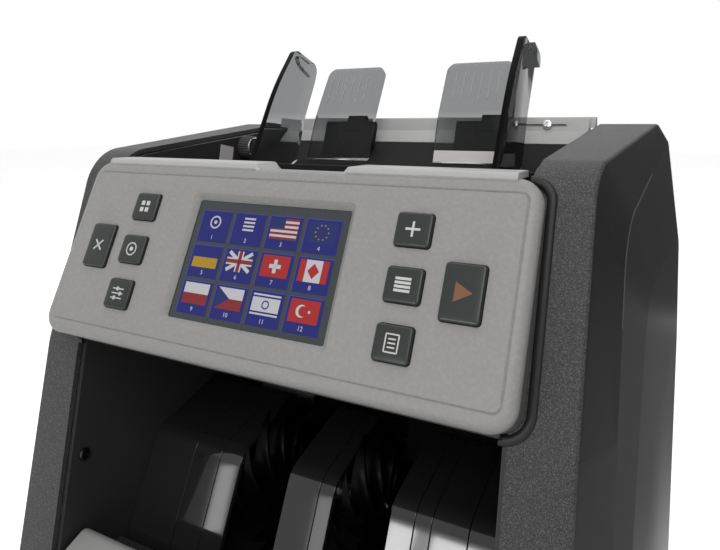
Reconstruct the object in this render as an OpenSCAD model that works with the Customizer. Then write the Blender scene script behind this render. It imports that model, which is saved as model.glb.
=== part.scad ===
// Banknote counter: a hopper on top, a tilted control panel in front and a note pocket with
// stacker wheels below it. Millimetres: X to the right, Y to the rear, Z up. The origin is the
// middle of the machine on the table.

/* [Body] */
// Clear width of the note pocket between its liners
pocket_w = 200; // [196:1:206]
// Width over the front crease of the side covers at panel height
front_w = 246; // [242:1:252]
// Width over the shoulder crease of the side covers
shoulder_w = 266; // [262:1:272]
// Greatest width over the side covers
body_w = 298; // [292:1:304]
// Height of the side covers at their rear end
body_h = 256; // [253:0.5:260]
// Rear face of the side covers
rear_y = 122; // [120:0.5:126]
// Wall of the side covers
cover_wall = 2.5; // [2:0.1:3]
// Thickness of the pocket liners
liner_t = 2; // [1.5:0.1:3]
// Thickness of the steel side frames
frame_t = 1.5; // [1:0.1:2]
// Height of the rubber feet
foot_h = 4; // [3:0.5:6]
// Thickness of the base floor
floor_t = 2.5; // [2:0.1:3]
// Front edge of the base
base_front_y = -122; // [-126:1:-118]
// Front of the side covers at their foot
post_foot_y = -89; // [-92:0.5:-84]

/* [Control panel] */
// Width of the silver panel
panel_w = 214.6; // [212:0.2:217]
// Height of the silver panel along its slope
panel_h = 82.6; // [81:0.2:84]
// Lean of the panel back from upright
panel_tilt = 25.7; // [24:0.1:27]
// Height of the panel centre above the table
panel_z = 200; // [198:0.5:202]
// Place of the panel centre from front to rear
panel_y = -56; // [-58:0.5:-54]
// Thickness of the panel at its edge
panel_edge = 6; // [5:0.1:6.2]
// Thickness of the panel face
panel_face = 3; // [2.5:0.1:3.4]
// Corner radius of the panel
panel_r = 9; // [6:0.5:12]
// Width of the display window
window_w = 75; // [72:0.2:78]
// Height of the display window
window_h = 50.8; // [48:0.2:53]
// Chamfer around the window
window_chamfer = 2.6; // [1:0.1:3.5]
// Width of the small keys
key_w = 13.8; // [12:0.1:15]
// Height of the small keys
key_h = 12.5; // [11:0.1:14]
// Width of the tall keys
tall_key_w = 14.3; // [13:0.1:16]
// Height of the tall keys
tall_key_h = 19.8; // [18:0.1:22]
// Key column nearest to the display
key_x = 65; // [62:0.5:67]
// Outer key column
tall_key_x = 86.1; // [84.5:0.1:88]
// Distance between key rows
key_pitch = 19.8; // [18:0.1:21]
// How far the keys stand proud of the panel
key_proud = 1.5; // [1:0.1:2.5]
// Travel of the keys
key_travel = 1; // [0.6:0.1:1.2]

/* [Hopper] */
// Lower end of the feed plate, front to rear
feed_foot_y = 4; // [2:0.5:6]
// Lower end of the feed plate, height
feed_foot_z = 193; // [191:0.5:194]
// Slope of the feed plate
feed_slope = 27.7; // [26.5:0.1:28.5]
// Distance of each side guide from the middle
guide_x = 70; // [66:1:76]
// Thickness of the side guides
guide_t = 3.5; // [2.5:0.1:4]
// Height of the front tip of the side guides
guide_top_z = 300; // [288:1:306]
// Inner edge of the rear rests
rest_in_x = 20.5; // [18:0.5:24]
// Outer edge of the rear rests
rest_out_x = 65; // [60:0.5:66]
// Thickness of the rear rests
rest_t = 3; // [2:0.1:3.5]
// Top of the rear rests
rest_top_z = 290; // [282:1:296]
// Half width of the thumb notch in the panel's top edge
notch_x = 18; // [12:1:24]
// Place of the thumb notch right of the middle
notch_at = 10.5; // [-20:0.5:20]

/* [Rollers and wheels] */
// Radius of the roller shafts
shaft_r = 4; // [3:0.1:5]
// Running clearance of shafts and pins, on the radius
run_gap = 0.05; // [0.02:0.01:0.09]
// Radius of the pick-up rollers
pickup_r = 14; // [12:0.5:15]
// Radius of the feed rollers
feed_r = 15; // [13:0.5:16]
// Radius of the separator rollers
separator_r = 12; // [10:0.5:13]
// Radius of the transport rollers
transport_r = 12; // [10:0.5:13]
// Radius of the pinch rollers
pinch_r = 9; // [7:0.5:10]
// Tip radius of the stacker wheels
wheel_r = 40; // [36:1:46]
// Distance of each stacker wheel from the middle
wheel_x = 27; // [25:0.5:29]
// Width of the stacker wheels
wheel_w = 12; // [8:0.5:14]
// Number of blades on a stacker wheel
wheel_blades = 12; // [8:1:14]
// Width of the slots in the chute for the stacker wheels
slot_w = 29; // [24:0.5:32]
// Pitch radius of all belt pulleys
pulley_r = 9; // [7:0.5:10]
// Width of the belts
belt_w = 5; // [4:0.5:5.5]

/* [Hidden] */
$fn = 48;

// Shared clearances: loose gap between moving pieces, seat of cross pieces on the liners
loose = 0.3;
seat = 0.2;
// Overshoot of cuts
eps = 1;

liner_x = pocket_w / 2;
frame_x = liner_x + liner_t;
cavity_x = frame_x + frame_t;
cross_x = liner_x - seat;
floor_z = foot_h + floor_t;

// Finds a point of the machine's Y-Z plane from a height v up the panel and a distance w out of it
function on_face(v, w) = [panel_y + v * sin(panel_tilt) - w * cos(panel_tilt),
                          panel_z + v * cos(panel_tilt) + w * sin(panel_tilt)];

// Outline helpers
function unit(v) = v / norm(v);
function turned(v, a) = [v[0] * cos(a) - v[1] * sin(a), v[0] * sin(a) + v[1] * cos(a)];
function crossing(a, b) = a[0] * b[1] - a[1] * b[0];
function arc(p, a, b, r, n) =
    let (u = unit(a - p), w = unit(b - p), half = acos(u * w) / 2)
    let (c = p + unit(u + w) * r / sin(half), s = p + u * r / tan(half) - c)
    let (way = crossing(s, p + w * r / tan(half) - c) > 0 ? 1 : -1)
    [for (i = [0:n]) c + turned(s, way * (180 - 2 * half) * i / n)];
function rounded(pts, radii, n = 6) =
    let (m = len(pts))
    [for (i = [0:m - 1]) each radii[i] > 0
        ? arc(pts[i], pts[(i + m - 1) % m], pts[(i + 1) % m], radii[i], n) : [pts[i]]];
function bent(path, radii, n = 6) =
    let (m = len(path))
    [for (i = [0:m - 1]) each radii[i] > 0
        ? arc(path[i], path[i - 1], path[i + 1], radii[i], n) : [path[i]]];
function left_of(a, b) = turned(unit(b - a), 90);
function beside(path, t) =
    let (m = len(path))
    [for (i = [0:m - 1])
        let (before = left_of(path[max(i - 1, 0)], path[max(i, 1)]))
        let (after = left_of(path[min(i, m - 2)], path[min(i + 1, m - 1)]))
        path[i] + t * (before + after) / (1 + before * after)];
function reversed(list) = [for (i = [len(list) - 1:-1:0]) list[i]];
function sheet(path, t) = concat(path, reversed(beside(path, t)));
function inset(pts, d) =
    let (m = len(pts))
    [for (i = [0:m - 1])
        let (before = left_of(pts[(i + m - 1) % m], pts[i]))
        let (after = left_of(pts[i], pts[(i + 1) % m]))
        pts[i] + d * (before + after) / (1 + before * after)];
function oblong(w, h, r, n = 6) =
    rounded([[-w / 2, -h / 2], [w / 2, -h / 2], [w / 2, h / 2], [-w / 2, h / 2]], [r, r, r, r], n);
function at_height(pts, z) = [for (p = pts) [p[0], p[1], z]];

// Closed solid through rings of equal length, from the lowest ring to the highest
module loft(rings) {
    n = len(rings[0]);
    m = len(rings);
    sides = [for (k = [0:m - 2]) for (i = [0:n - 1]) for (t = [0, 1])
        let (a = k * n + i, b = k * n + (i + 1) % n)
        t == 0 ? [a, a + n, b] : [b, a + n, b + n]];
    polyhedron(concat([for (r = rings) each r]),
               concat([[for (i = [0:n - 1]) i]], sides, [[for (i = [n - 1:-1:0]) (m - 1) * n + i]]));
}
// Extrudes an outline of the Y-Z plane along X
module across(x0, x1) {
    translate([x0, 0, 0]) rotate([90, 0, 90]) linear_extrude(x1 - x0) children();
}
module rod(at, r, x0, x1) {
    translate([x0, at[0], at[1]]) rotate([0, 90, 0]) cylinder(r = r, h = x1 - x0);
}
module both_sides() {
    children();
    mirror([1, 0, 0]) children();
}
// Places what is drawn in panel coordinates: x across, y up the slope, z out of the face
module on_panel() {
    translate([0, panel_y, panel_z]) rotate([90 - panel_tilt, 0, 0]) children();
}
module plate(w, h, r, z0, z1) {
    translate([0, 0, z0]) linear_extrude(z1 - z0) polygon(oblong(w, h, r));
}
// Block with an edge rounded at its top, from z0 up to z1
module cushioned(w, h, r, edge, z0, z1) {
    loft([at_height(oblong(w, h, r), z0), at_height(oblong(w, h, r), z1 - edge),
          at_height(oblong(w - 0.6 * edge, h - 0.6 * edge, r - 0.3 * edge), z1 - 0.3 * edge),
          at_height(oblong(w - 2 * edge, h - 2 * edge, r - edge), z1)]);
}

// Side covers: rings of the side view, each further out and further in from the outline
post_set_back = 19;
post_top_back = panel_edge + 0.5;
shoulder_y = -38;
full_width_y = 40;
brow = on_face(panel_h / 2 + 6.7, -post_top_back);
chin = on_face(-panel_h / 2 - 5, -post_set_back);
cover_corners = [[rear_y, floor_z], [rear_y, body_h], brow, chin, [post_foot_y, floor_z]];
cover_radii = [0, 12, 24, 40, 0];
rear_in = 0.25;
// Where the line through a and b comes down to the floor
function foot_of(a, b) = a[0] + (b[0] - a[0]) * (a[1] - floor_z) / (a[1] - b[1]);
// Shift: drop of the brow corner, lift of the rear corner, set-back of the chin and of the foot
no_shift = [0, 0, 0, 0];
function cover_ring(d, shift = no_shift) =
    let (q = inset(cover_corners, d), rear = rear_y - rear_in * d)
    rounded([[rear, floor_z], [rear, q[1][1] - 0.1 * (1 - rear_in) * d + shift[1]],
             q[2] + shift[0] * unit(chin - brow), q[3] + [shift[2], 0],
             [foot_of(q[3], q[4]) + shift[3], floor_z]], cover_radii);
cover_outline = cover_ring(0);
shoulder_in = 13;
belly_in = 48;
flank_in = 84;
front_half = front_w / 2;
front_flare = 2.5;
shoulder_out = (shoulder_w - front_w) / 2 - 1.5;
belly_out = shoulder_out + 3.5;
flank_out = belly_out + 1.5;
rear_flare = body_w / 2 - front_half - front_flare - flank_out;
flank_rear_y = rear_y - rear_in * flank_in;
function spread(p, out, share) =
    [front_half + front_flare * (1 - (p[1] - floor_z) / (panel_z - floor_z)) + out
     + share * rear_flare * max(p[0] - brow[0], 0) / (flank_rear_y - brow[0]), p[0], p[1]];
// Inset, outward step, shift and share of the rear flare of each ring
cover_steps = [[0, 0, no_shift, 1],
               [shoulder_in, shoulder_out, [9, 8, 16, 24], 0.7],
               [belly_in, belly_out, [6, 2, 6, 6], 1],
               [flank_in, flank_out, no_shift, 1]];
function cover_step(s, wall) = [for (p = cover_ring(s[0] + wall, s[2])) spread(p, s[1] - wall, s[3])];
module cover_solid(wall) {
    inner_x = frame_x - (wall > 0 ? eps : 0);
    loft(concat([[for (p = cover_ring(wall)) [inner_x, p[0], p[1]]]],
                [for (s = cover_steps) cover_step(s, wall)]));
}
module cover() {
    color("#4b4b4b")
    difference() {
        cover_solid(0);
        cover_solid(cover_wall);
        // Open underneath
        translate([0, 0, -cover_wall - eps])
            intersection() {
                cover_solid(cover_wall);
                translate([0, -body_w, 0]) cube([body_w, 2 * body_w, floor_z + 4 * cover_wall]);
            }
    }
}
module cover_right() { cover(); }
module cover_left() { mirror([1, 0, 0]) cover(); }

// Side frames and liners, with the bores that carry the shafts
frame_gap = 0.5;
liner_step = 3;
rear_panel_t = 2.5;
rear_panel_y = rear_y - 6.6;
inner_rear_y = rear_panel_y - rear_panel_t;
feed_along = [cos(feed_slope), sin(feed_slope)];
feed_up = [-sin(feed_slope), cos(feed_slope)];
feed_foot = [feed_foot_y, feed_foot_z];
function on_feed(d, up) = feed_foot + d * feed_along + up * feed_up;
pickup_proud = 1.5;
pickup_at = on_feed(32, pickup_proud - pickup_r);
feed_at = [feed_foot_y + 2, feed_foot_z - feed_r - 6];
nip_gap = 0.6;
separator_at = feed_at + (feed_r + separator_r + nip_gap) * unit([-1, 0.2]);
transport_at = [60, 118];
pinch_at = transport_at + (transport_r + pinch_r + nip_gap) * unit([1, -0.1]);
stacker_at = [8, 72];
motor_at = [94, 72];
stacker_motor_at = [78, 36];
rail_at = [72, 213];
rail_r = 3;
knob_at = [64, 240];
knob_pin_r = 3;
shafts = [pickup_at, feed_at, separator_at, transport_at, pinch_at, stacker_at];
motors = [motor_at, stacker_motor_at];
liner_hole_r = shaft_r + 2;
liner_screw_at = [-60, 97.6];
liner_screw_r = 1.5;
side_outline = [for (p = inset(cover_outline, cover_wall + frame_gap)) [min(p[0], inner_rear_y), p[1]]];
module holes(list, r) {
    for (at = list) rod(at, r, 0, body_w);
}
module frame() {
    color("#b4b6b8")
    difference() {
        across(frame_x, cavity_x) polygon(side_outline);
        holes(shafts, shaft_r + run_gap);
        holes(motors, liner_hole_r);
        holes([knob_at], knob_pin_r + run_gap);
        holes([liner_screw_at], liner_screw_r + run_gap);
    }
}
module frame_right() { frame(); }
module frame_left() { mirror([1, 0, 0]) frame(); }
module liner() {
    color("#2a2a2b")
    difference() {
        across(liner_x, frame_x)
            polygon([for (p = inset(cover_outline, liner_step)) [min(p[0], inner_rear_y), p[1]]]);
        holes(concat(shafts, motors), liner_hole_r);
        holes([rail_at], rail_r + run_gap);
        holes([knob_at], knob_pin_r + loose);
        holes([liner_screw_at], liner_screw_r + run_gap);
    }
}
module liner_right() { liner(); }
module liner_left() { mirror([1, 0, 0]) liner(); }
liner_screw_head_r = 3;
module liner_screws() {
    color("#55585a")
    both_sides()
    difference() {
        union() {
            rod(liner_screw_at, liner_screw_r, liner_x - eps, cavity_x + 2);
            rod(liner_screw_at, liner_screw_head_r, liner_x - 1.6, liner_x);
        }
        for (a = [0, 90])
            translate([liner_x - 1.6, liner_screw_at[0], liner_screw_at[1]]) rotate([a, 0, 0])
                cube([1.6, 0.7, 3.6], center = true);
    }
}

// Base with its floor, front apron and pocket floor, and the rubber feet
apron_h = 34;
apron_wall = 3;
base_x = front_half - 1;
base_rear_x = body_w / 2 - 4;
pocket_floor_z = 44;
stack_rear_y = -63;
chute_foot_y = -37;
board_z = floor_z + 5.5;
board_x = [-48, 40];
board_y = [66, 110];
base_shoulder_x = base_x + shoulder_out;
base_outline = rounded([[-base_x, base_front_y], [base_x, base_front_y], [base_x, post_foot_y],
                        [base_shoulder_x, shoulder_y], [base_rear_x, full_width_y],
                        [base_rear_x, rear_y - 6], [-base_rear_x, rear_y - 6],
                        [-base_rear_x, full_width_y], [-base_shoulder_x, shoulder_y],
                        [-base_x, post_foot_y]],
                       [16, 16, 4, 10, 10, 6, 6, 10, 10, 4]);
foot_places = [for (x = [-1, 1]) for (y = [base_front_y + 22, rear_y - 28]) [x * (base_x - 24), y]];
foot_hole_r = 3;
module base_tray() {
    color("#343434")
    difference() {
        base_body();
        for (p = foot_places) translate([p[0], p[1], foot_h - eps]) cylinder(r = foot_hole_r,
            h = floor_t + 2 * eps);
    }
}
module base_body() {
    union() {
        translate([0, 0, foot_h]) linear_extrude(floor_t) polygon(base_outline);
        // Apron in front of the posts
        difference() {
            translate([0, 0, foot_h]) linear_extrude(apron_h - foot_h)
                intersection() {
                    polygon(base_outline);
                    translate([-base_x, base_front_y])
                        square([2 * base_x, post_foot_y - loose - base_front_y]);
                }
            translate([0, 0, floor_z]) linear_extrude(apron_h - apron_wall - floor_z)
                intersection() {
                    polygon(inset(base_outline, apron_wall));
                    translate([-base_x, base_front_y]) square([2 * base_x, post_foot_y - base_front_y]);
                }
        }
        // Floor of the note pocket on two legs
        across(-cross_x, cross_x)
            polygon(sheet([[stack_rear_y + 4, floor_z - eps / 2], [stack_rear_y + 4, pocket_floor_z],
                           [chute_foot_y - 4, pocket_floor_z],
                           [chute_foot_y - 4, floor_z - eps / 2]], -2.5));
        // Stand-offs of the main board
        for (x = [board_x[0] + 5, board_x[1] - 5]) for (y = [board_y[0] + 5, board_y[1] - 5])
            translate([x, y, floor_z - eps / 2]) cylinder(r = 3, h = board_z - floor_z + eps / 2);
    }
}
module feet() {
    color("#1c1c1c")
    for (p = foot_places) translate([p[0], p[1], 0]) {
        rotate_extrude() polygon([[0, 0], [7, 0], [8.5, 1.2], [8.5, foot_h], [0, foot_h]]);
        translate([0, 0, foot_h]) cylinder(r = foot_hole_r - 0.1, h = floor_t);
    }
}

// Silver control panel with its top ledge
groove_w = 206.1;
groove_h = 70.6;
groove_cut = 0.8;
skirt_t = 2.2;
ledge_x = liner_x - 1.5;
ledge_back = 13;
ledge_t = 2.4;
notch_depth = 3.2;
notch_run = 5;
key_gap = 0.25;
ledge_z = on_face(panel_h / 2, 0)[1] + 1;
ledge_front_y = on_face(panel_h / 2, -2)[0];
function key_size(kind) = kind == "tall" ? [tall_key_w, tall_key_h] : [key_w, key_h];
keys = [["key_mode", -key_x, key_pitch, "small"], ["key_coin", -key_x, 0, "small"],
        ["key_setup", -key_x, -key_pitch, "small"], ["key_clear", -tall_key_x, 0, "tall"],
        ["key_add", key_x, key_pitch, "small"], ["key_batch", key_x, 0, "small"],
        ["key_report", key_x, -key_pitch, "small"], ["key_start", tall_key_x, 0, "tall"]];
key_row_drop = 0.5;
module at_key(k) {
    translate([k[1], k[2] - key_row_drop, 0]) children();
}
module ledge() {
    difference() {
        across(-ledge_x, ledge_x)
            polygon(rounded([[ledge_front_y, ledge_z - ledge_t - 4],
                             [ledge_front_y + 3, ledge_z - ledge_t],
                             [ledge_front_y + ledge_back, ledge_z - ledge_t],
                             [ledge_front_y + ledge_back, ledge_z], [ledge_front_y - 1.5, ledge_z],
                             [ledge_front_y - 2.5, ledge_z - 1.5]], [0, 0, 0, 1, 1.5, 0]));
        translate([notch_at, ledge_front_y + 1, ledge_z - notch_depth]) rotate([90, 0, 180])
            linear_extrude(ledge_back + eps)
                polygon([[-notch_x, 0], [notch_x, 0], [notch_x + notch_run, notch_depth + eps],
                         [-notch_x - notch_run, notch_depth + eps]]);
    }
    // The notch keeps a thin floor
    across(notch_at - notch_x - notch_run, notch_at + notch_x + notch_run)
        polygon([[ledge_front_y, ledge_z - ledge_t - 4],
                 [ledge_front_y + ledge_back, ledge_z - notch_depth - 1.6],
                 [ledge_front_y + ledge_back, ledge_z - notch_depth],
                 [ledge_front_y, ledge_z - notch_depth]]);
}
module bezel() {
    color("#a5a39e")
    union() {
        on_panel()
        difference() {
            cushioned(panel_w, panel_h, panel_r, 3, -panel_edge, 0);
            plate(panel_w - 2 * skirt_t, panel_h - 2 * skirt_t, panel_r - skirt_t, -panel_edge - eps,
                -panel_face);
            difference() {
                plate(groove_w + groove_cut, groove_h + groove_cut, 3.4, -0.5, eps);
                plate(groove_w - groove_cut, groove_h - groove_cut, 2.6, -0.5 - eps, 2 * eps);
            }
            loft([at_height(oblong(window_w, window_h, 1), -panel_face - 0.2),
                  at_height(oblong(window_w, window_h, 1), -panel_face + 0.4),
                  at_height(oblong(window_w + 2 * window_chamfer, window_h + 2 * window_chamfer,
                      2.2), 0),
                  at_height(oblong(window_w + 2 * window_chamfer, window_h + 2 * window_chamfer,
                      2.2), eps)]);
            for (k = keys) at_key(k)
                plate(key_size(k[3])[0] + 2 * key_gap, key_size(k[3])[1] + 2 * key_gap, 1.6,
                      -panel_face - eps, eps);
        }
        ledge();
    }
}

// Dark housing behind the panel
housing_deep = 17;
housing_wall = 2;
housing_x = panel_w / 2 + 1;
housing_top = panel_h / 2 - 5;
housing_low = -panel_h / 2 + 2;
housing_front = -panel_edge - 0.1;
board_w_level = -10.6;
board_t = 1.6;
post_gap = 0.4;
module housing_rim() {
    // Wedge that fills the room between the panel and the posts
    low = on_face(-panel_h / 2 + 1, housing_front);
    high = on_face(panel_h / 2 - 18, housing_front);
    across(-housing_x, housing_x)
        polygon([low, on_face(-panel_h / 2 - 2, -post_set_back + post_gap + 1.2),
                 on_face(-panel_h / 2 + 12, -post_set_back + post_gap + 3.6),
                 on_face(panel_h / 2 - 18, -post_top_back - post_gap + 0.2), high]);
}
collar_w = 2.6;
collar_t = 1.6;
function post_face(v, up) = on_face(v, -post_set_back + up
    + (v + panel_h / 2 + 5) * (post_set_back - post_top_back) / (panel_h + 11.7));
module collar() {
    // Raised rim on the posts around the housing
    low = -panel_h / 2 + 1;
    high = panel_h / 2 - 4;
    both_sides() across(housing_x - eps, housing_x + collar_w)
        polygon([post_face(low, post_gap), post_face(high, post_gap),
                 post_face(high, post_gap + collar_t), post_face(low, post_gap + collar_t)]);
}
module panel_housing() {
    color("#3a3a3b")
    difference() {
        union() {
            difference() {
                housing_rim();
                on_panel() translate([-cross_x, -panel_h, -housing_deep])
                    cube([2 * cross_x, 2 * panel_h, panel_h]);
            }
            collar();
            on_panel() translate([-cross_x - eps, housing_low, -housing_deep])
                cube([2 * (cross_x + eps), housing_top - housing_low, housing_deep + housing_front]);
        }
        on_panel()
            translate([-cross_x + housing_wall, housing_low + housing_wall, -housing_deep + housing_wall])
            cube([2 * (cross_x - housing_wall), housing_top - housing_low - 2 * housing_wall, panel_h]);
        // Room for the liners beside the deep part
        both_sides() across(liner_x - seat, housing_x + collar_w + eps)
            polygon(inset(cover_outline, -post_gap));
    }
    color("#3a3a3b")
    on_panel() for (x = [-90, -30, 30, 90]) for (y = [-28, 28])
        translate([x, y, -housing_deep + housing_wall - 0.5])
            cylinder(r = 2.6, h = housing_deep - housing_wall + 0.5 + board_w_level);
}

// Display and key board
glass_t = 1.4;
module display_glass() {
    color("#20242c")
    on_panel() plate(window_w + 5, window_h + 5, 1.5, -panel_face - glass_t, -panel_face);
}
module display_module() {
    color("#8f9396")
    on_panel() difference() {
        plate(window_w + 9, window_h + 6.4, 1, board_w_level + board_t, -panel_face - glass_t);
        translate([window_w / 2 + 2, 0, board_w_level + board_t]) cube([2, window_h, 1.6],
            center = true);
    }
}
switch_top = -7.5;
key_board_h = panel_h - 16.6;
module key_board() {
    color("#2f6b45")
    on_panel() union() {
        plate(2 * cross_x - 2 * housing_wall - 2, key_board_h, 2, board_w_level,
            board_w_level + board_t);
        for (k = keys) at_key(k) {
            plate(6, 6, 0.4, board_w_level + board_t - 0.1, switch_top - 0.6);
            translate([0, 0, switch_top - 0.7]) cylinder(r = 1.7, h = 0.7);
        }
        // Connector and controller chip on the back
        translate([-12, 9 - key_board_h / 2, board_w_level - 4]) cube([24, 6, 4.1]);
        translate([38, 4, board_w_level - 1.4]) cube([14, 14, 1.5]);
    }
}
key_flange = 1.2;
module key(k) {
    size = key_size(k[3]);
    flange_top = -panel_face - loose;
    color("#3c403e")
    on_panel() at_key(k) union() {
        cushioned(size[0], size[1], 1.5, 0.8, flange_top - 1, key_proud);
        plate(size[0] + 2 * key_flange, size[1] + 2 * key_flange, 1.5, flange_top - 1, flange_top);
        translate([0, 0, switch_top + key_travel + 0.1]) cylinder(r = 1.7,
            h = flange_top - switch_top - key_travel - 0.6);
    }
}

// Hopper: front wall, feed plate, back ledge and rear rests
hopper_wall = 2.5;
feed_t = 3;
feed_length = 109;
hopper_back_low = on_feed(feed_length, 0);
slot_front = 66;
slot_len = 10;
guide_out = 18;
guide_in = 9;
foot_w = 6;
roller_slot_gap = 1.5;
pickup_x = 30;
pickup_w = 18;
feed_x = 24;
feed_w = 20;
module hopper_front() {
    color("#262627")
    across(-cross_x, cross_x)
        polygon(sheet([[ledge_front_y + ledge_back + loose, ledge_z - 1],
                       [ledge_front_y + ledge_back + loose, ledge_z - 20],
                       [separator_at[0] + 8, feed_foot_z - 2]], hopper_wall));
}
module feed_plate() {
    color("#29292a")
    difference() {
        across(-cross_x, cross_x)
            polygon(sheet([feed_foot, hopper_back_low], -feed_t));
        // Windows of the pick-up rollers
        both_sides()
            translate([pickup_x - pickup_w / 2 - roller_slot_gap, 0, 0])
                across(0, pickup_w + 2 * roller_slot_gap)
                    polygon([on_feed(20, 4), on_feed(44, 4), on_feed(44, -8), on_feed(20, -8)]);
        // Slots of the side guides
        both_sides()
            across(guide_x - guide_in - foot_w / 2 - 1, guide_x + guide_out + 2)
                polygon([on_feed(slot_front + 0.2, 4), on_feed(slot_front + slot_len - 0.2, 4),
                         on_feed(slot_front + slot_len - 0.2, -8), on_feed(slot_front + 0.2, -8)]);
    }
}
back_top_z = body_h + 2.5;
back_low_z = back_top_z - 12.3;
back_edge = [rear_panel_y - 4.5, back_top_z];
back_slope = [3.3, 7.7];
tray_screw_x = 78;
tray_screw_r = 1.45;
tray_screw_z = back_top_z - 4.2;
tray_slot = [-7.5, 10.5];
module hopper_back() {
    color("#9b9b9a")
    difference() {
        across(-cross_x, cross_x)
            polygon([hopper_back_low + [0.3, 0.2], back_edge - back_slope, back_edge,
                     [rear_panel_y, back_top_z], [rear_panel_y, back_low_z],
                     [inner_rear_y - loose, back_low_z], hopper_back_low + [4, -1.3]]);
        // Slot of the fixing screw
        across(tray_screw_x + tray_slot[0], tray_screw_x + tray_slot[1])
            polygon([[rear_panel_y - 10, tray_screw_z - 0.5], [rear_panel_y - 5, tray_screw_z - 0.5],
                     [rear_panel_y - 5, tray_screw_z + 0.5], [rear_panel_y - 10, tray_screw_z + 0.5]]);
        translate([tray_screw_x, rear_panel_y - 4, tray_screw_z]) rotate([90, 0, 0])
            cylinder(r = tray_screw_r + run_gap, h = 12);
    }
}
module tray_screw() {
    color("#e8e8e6")
    translate([tray_screw_x, rear_panel_y - 4.2, tray_screw_z]) rotate([90, 0, 0]) {
        cylinder(r = tray_screw_r, h = 3.4);
        translate([0, 0, 3.2]) cylinder(r = 2.6, h = 1.6);
    }
}
rest_d = 86;
on_plate = 0.05;
rest_foot = on_feed(rest_d, on_plate);
rest_rise = [8, 25];
rest_knee = rest_foot + rest_rise;
rest_tip = [rest_foot[0] + 25, rest_top_z];
rest_path = bent([rest_foot, rest_knee, rest_tip], [0, 60, 0]);
rest_lean = 5;
rest_corner_r = 5;
module rest() {
    color("#5a5c5e", 0.6)
    difference() {
        intersection() {
            across(rest_in_x, rest_out_x) polygon(sheet(rest_path, -rest_t));
            // The outer edge leans in towards the top
            translate([0, rear_y, 0]) rotate([90, 0, 0]) linear_extrude(rear_y)
                polygon(rounded([[rest_in_x, panel_z], [rest_out_x, panel_z],
                                 [rest_out_x - rest_lean, rest_top_z - 0.1],
                                 [rest_in_x, rest_top_z - 0.1]],
                                [0, 0, rest_corner_r, rest_corner_r]));
        }
        // Foot cut flush with the feed plate
        across(rest_in_x - eps, rest_out_x + eps)
            polygon([on_feed(rest_d - 20, on_plate), on_feed(rest_d + 20, on_plate),
                     on_feed(rest_d + 20, -20), on_feed(rest_d - 20, -20)]);
    }
}
module rest_right() { rest(); }
module rest_left() { mirror([1, 0, 0]) rest(); }
block_out = 10;
small_block = [10.5, 22];
tall_block = [21.5, 43];
latch = [24.5, 36.5];
block_top = 25.5;
latch_top = 29;
block_lean = 0.6;
module rest_blocks() {
    up = unit(rest_rise);
    base = rest_foot + [up[1], -up[0]] * (rest_t + on_plate);
    heel = on_feed(rest_d + 14, on_plate);
    color("#1e1e1f")
    for (edge = [-rest_out_x, rest_in_x]) {
        across(edge + small_block[0], edge + small_block[1])
            polygon([base + 4 * up, base + 20 * up, base + block_top * up + [block_lean, 0],
                     base + block_top * up + [block_out - 2, 0], heel]);
        across(edge + tall_block[0], edge + tall_block[1])
            polygon([base + 4 * up, base + 20 * up, base + block_top * up + [block_lean, 0],
                     base + block_top * up + [block_out - 3, 0.5], heel]);
        across(edge + latch[0], edge + latch[1])
            polygon([base + 20 * up + [1, 0], base + latch_top * up + [2.5, 0],
                     base + latch_top * up + [block_out - 4, 0], base + 20 * up + [block_out - 4, 0]]);
    }
}

// Sliding side guides with their carriers, rail, racks and pinion
// The guides' rear edge runs along the rests, in front of them
rest_gap = 1.8;
guide_brow = [57, guide_top_z - 24];
guide_tip = [77.5, guide_top_z + 0.6];
guide_back = [102.5, guide_top_z - 8];
guide_heel = rest_knee + 0.75 * (rest_tip - rest_knee);
guide_path = [on_feed(12, 0.5), guide_brow, guide_tip, guide_back, guide_heel - [rest_gap, 0],
              rest_knee - [rest_gap, 0], on_feed(rest_d - 2.5, 0.5)];
guide_lip = 3;
lip_front = guide_tip + 0.2 * (guide_back - guide_tip) - [0, 0.3];
module guide() {
    color("#55575a", 0.6)
    union() {
        across(guide_x - guide_t / 2, guide_x + guide_t / 2)
            polygon(rounded(guide_path, [3, 150, 6, 5, 12, 30, 2]));
        // Finger lip along the top, on the outer side
        across(guide_x, guide_x + guide_t / 2 + guide_lip)
            polygon(rounded([lip_front + [3.5, -7], lip_front, guide_back - [0.5, 0.3],
                             guide_back + [-3, -8]], [2, 2, 5, 2]));
        across(guide_x - guide_t / 2, guide_x + guide_t / 2)
            polygon([on_feed(slot_front + 1, 1), on_feed(slot_front + slot_len - 1, 1),
                     on_feed(slot_front + slot_len - 1, -4), on_feed(slot_front + 1, -4)]);
    }
}
module guide_right() { guide(); }
module guide_left() { mirror([1, 0, 0]) guide(); }
carrier_w = 15;
carrier_in = 12;
carrier_top = rail_at[1] + 6;
carrier_low = rail_at[1] - 6;
rack_module = 1.5;
pinion_teeth = 16;
pinion_r = rack_module * pinion_teeth / 2;
rack_pitch = PI * rack_module;
rack_low = 196;
rack_h = 6;
rack_back = 5;
tooth_half = 0.21 * rack_pitch;
rack_reach = 36;
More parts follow.
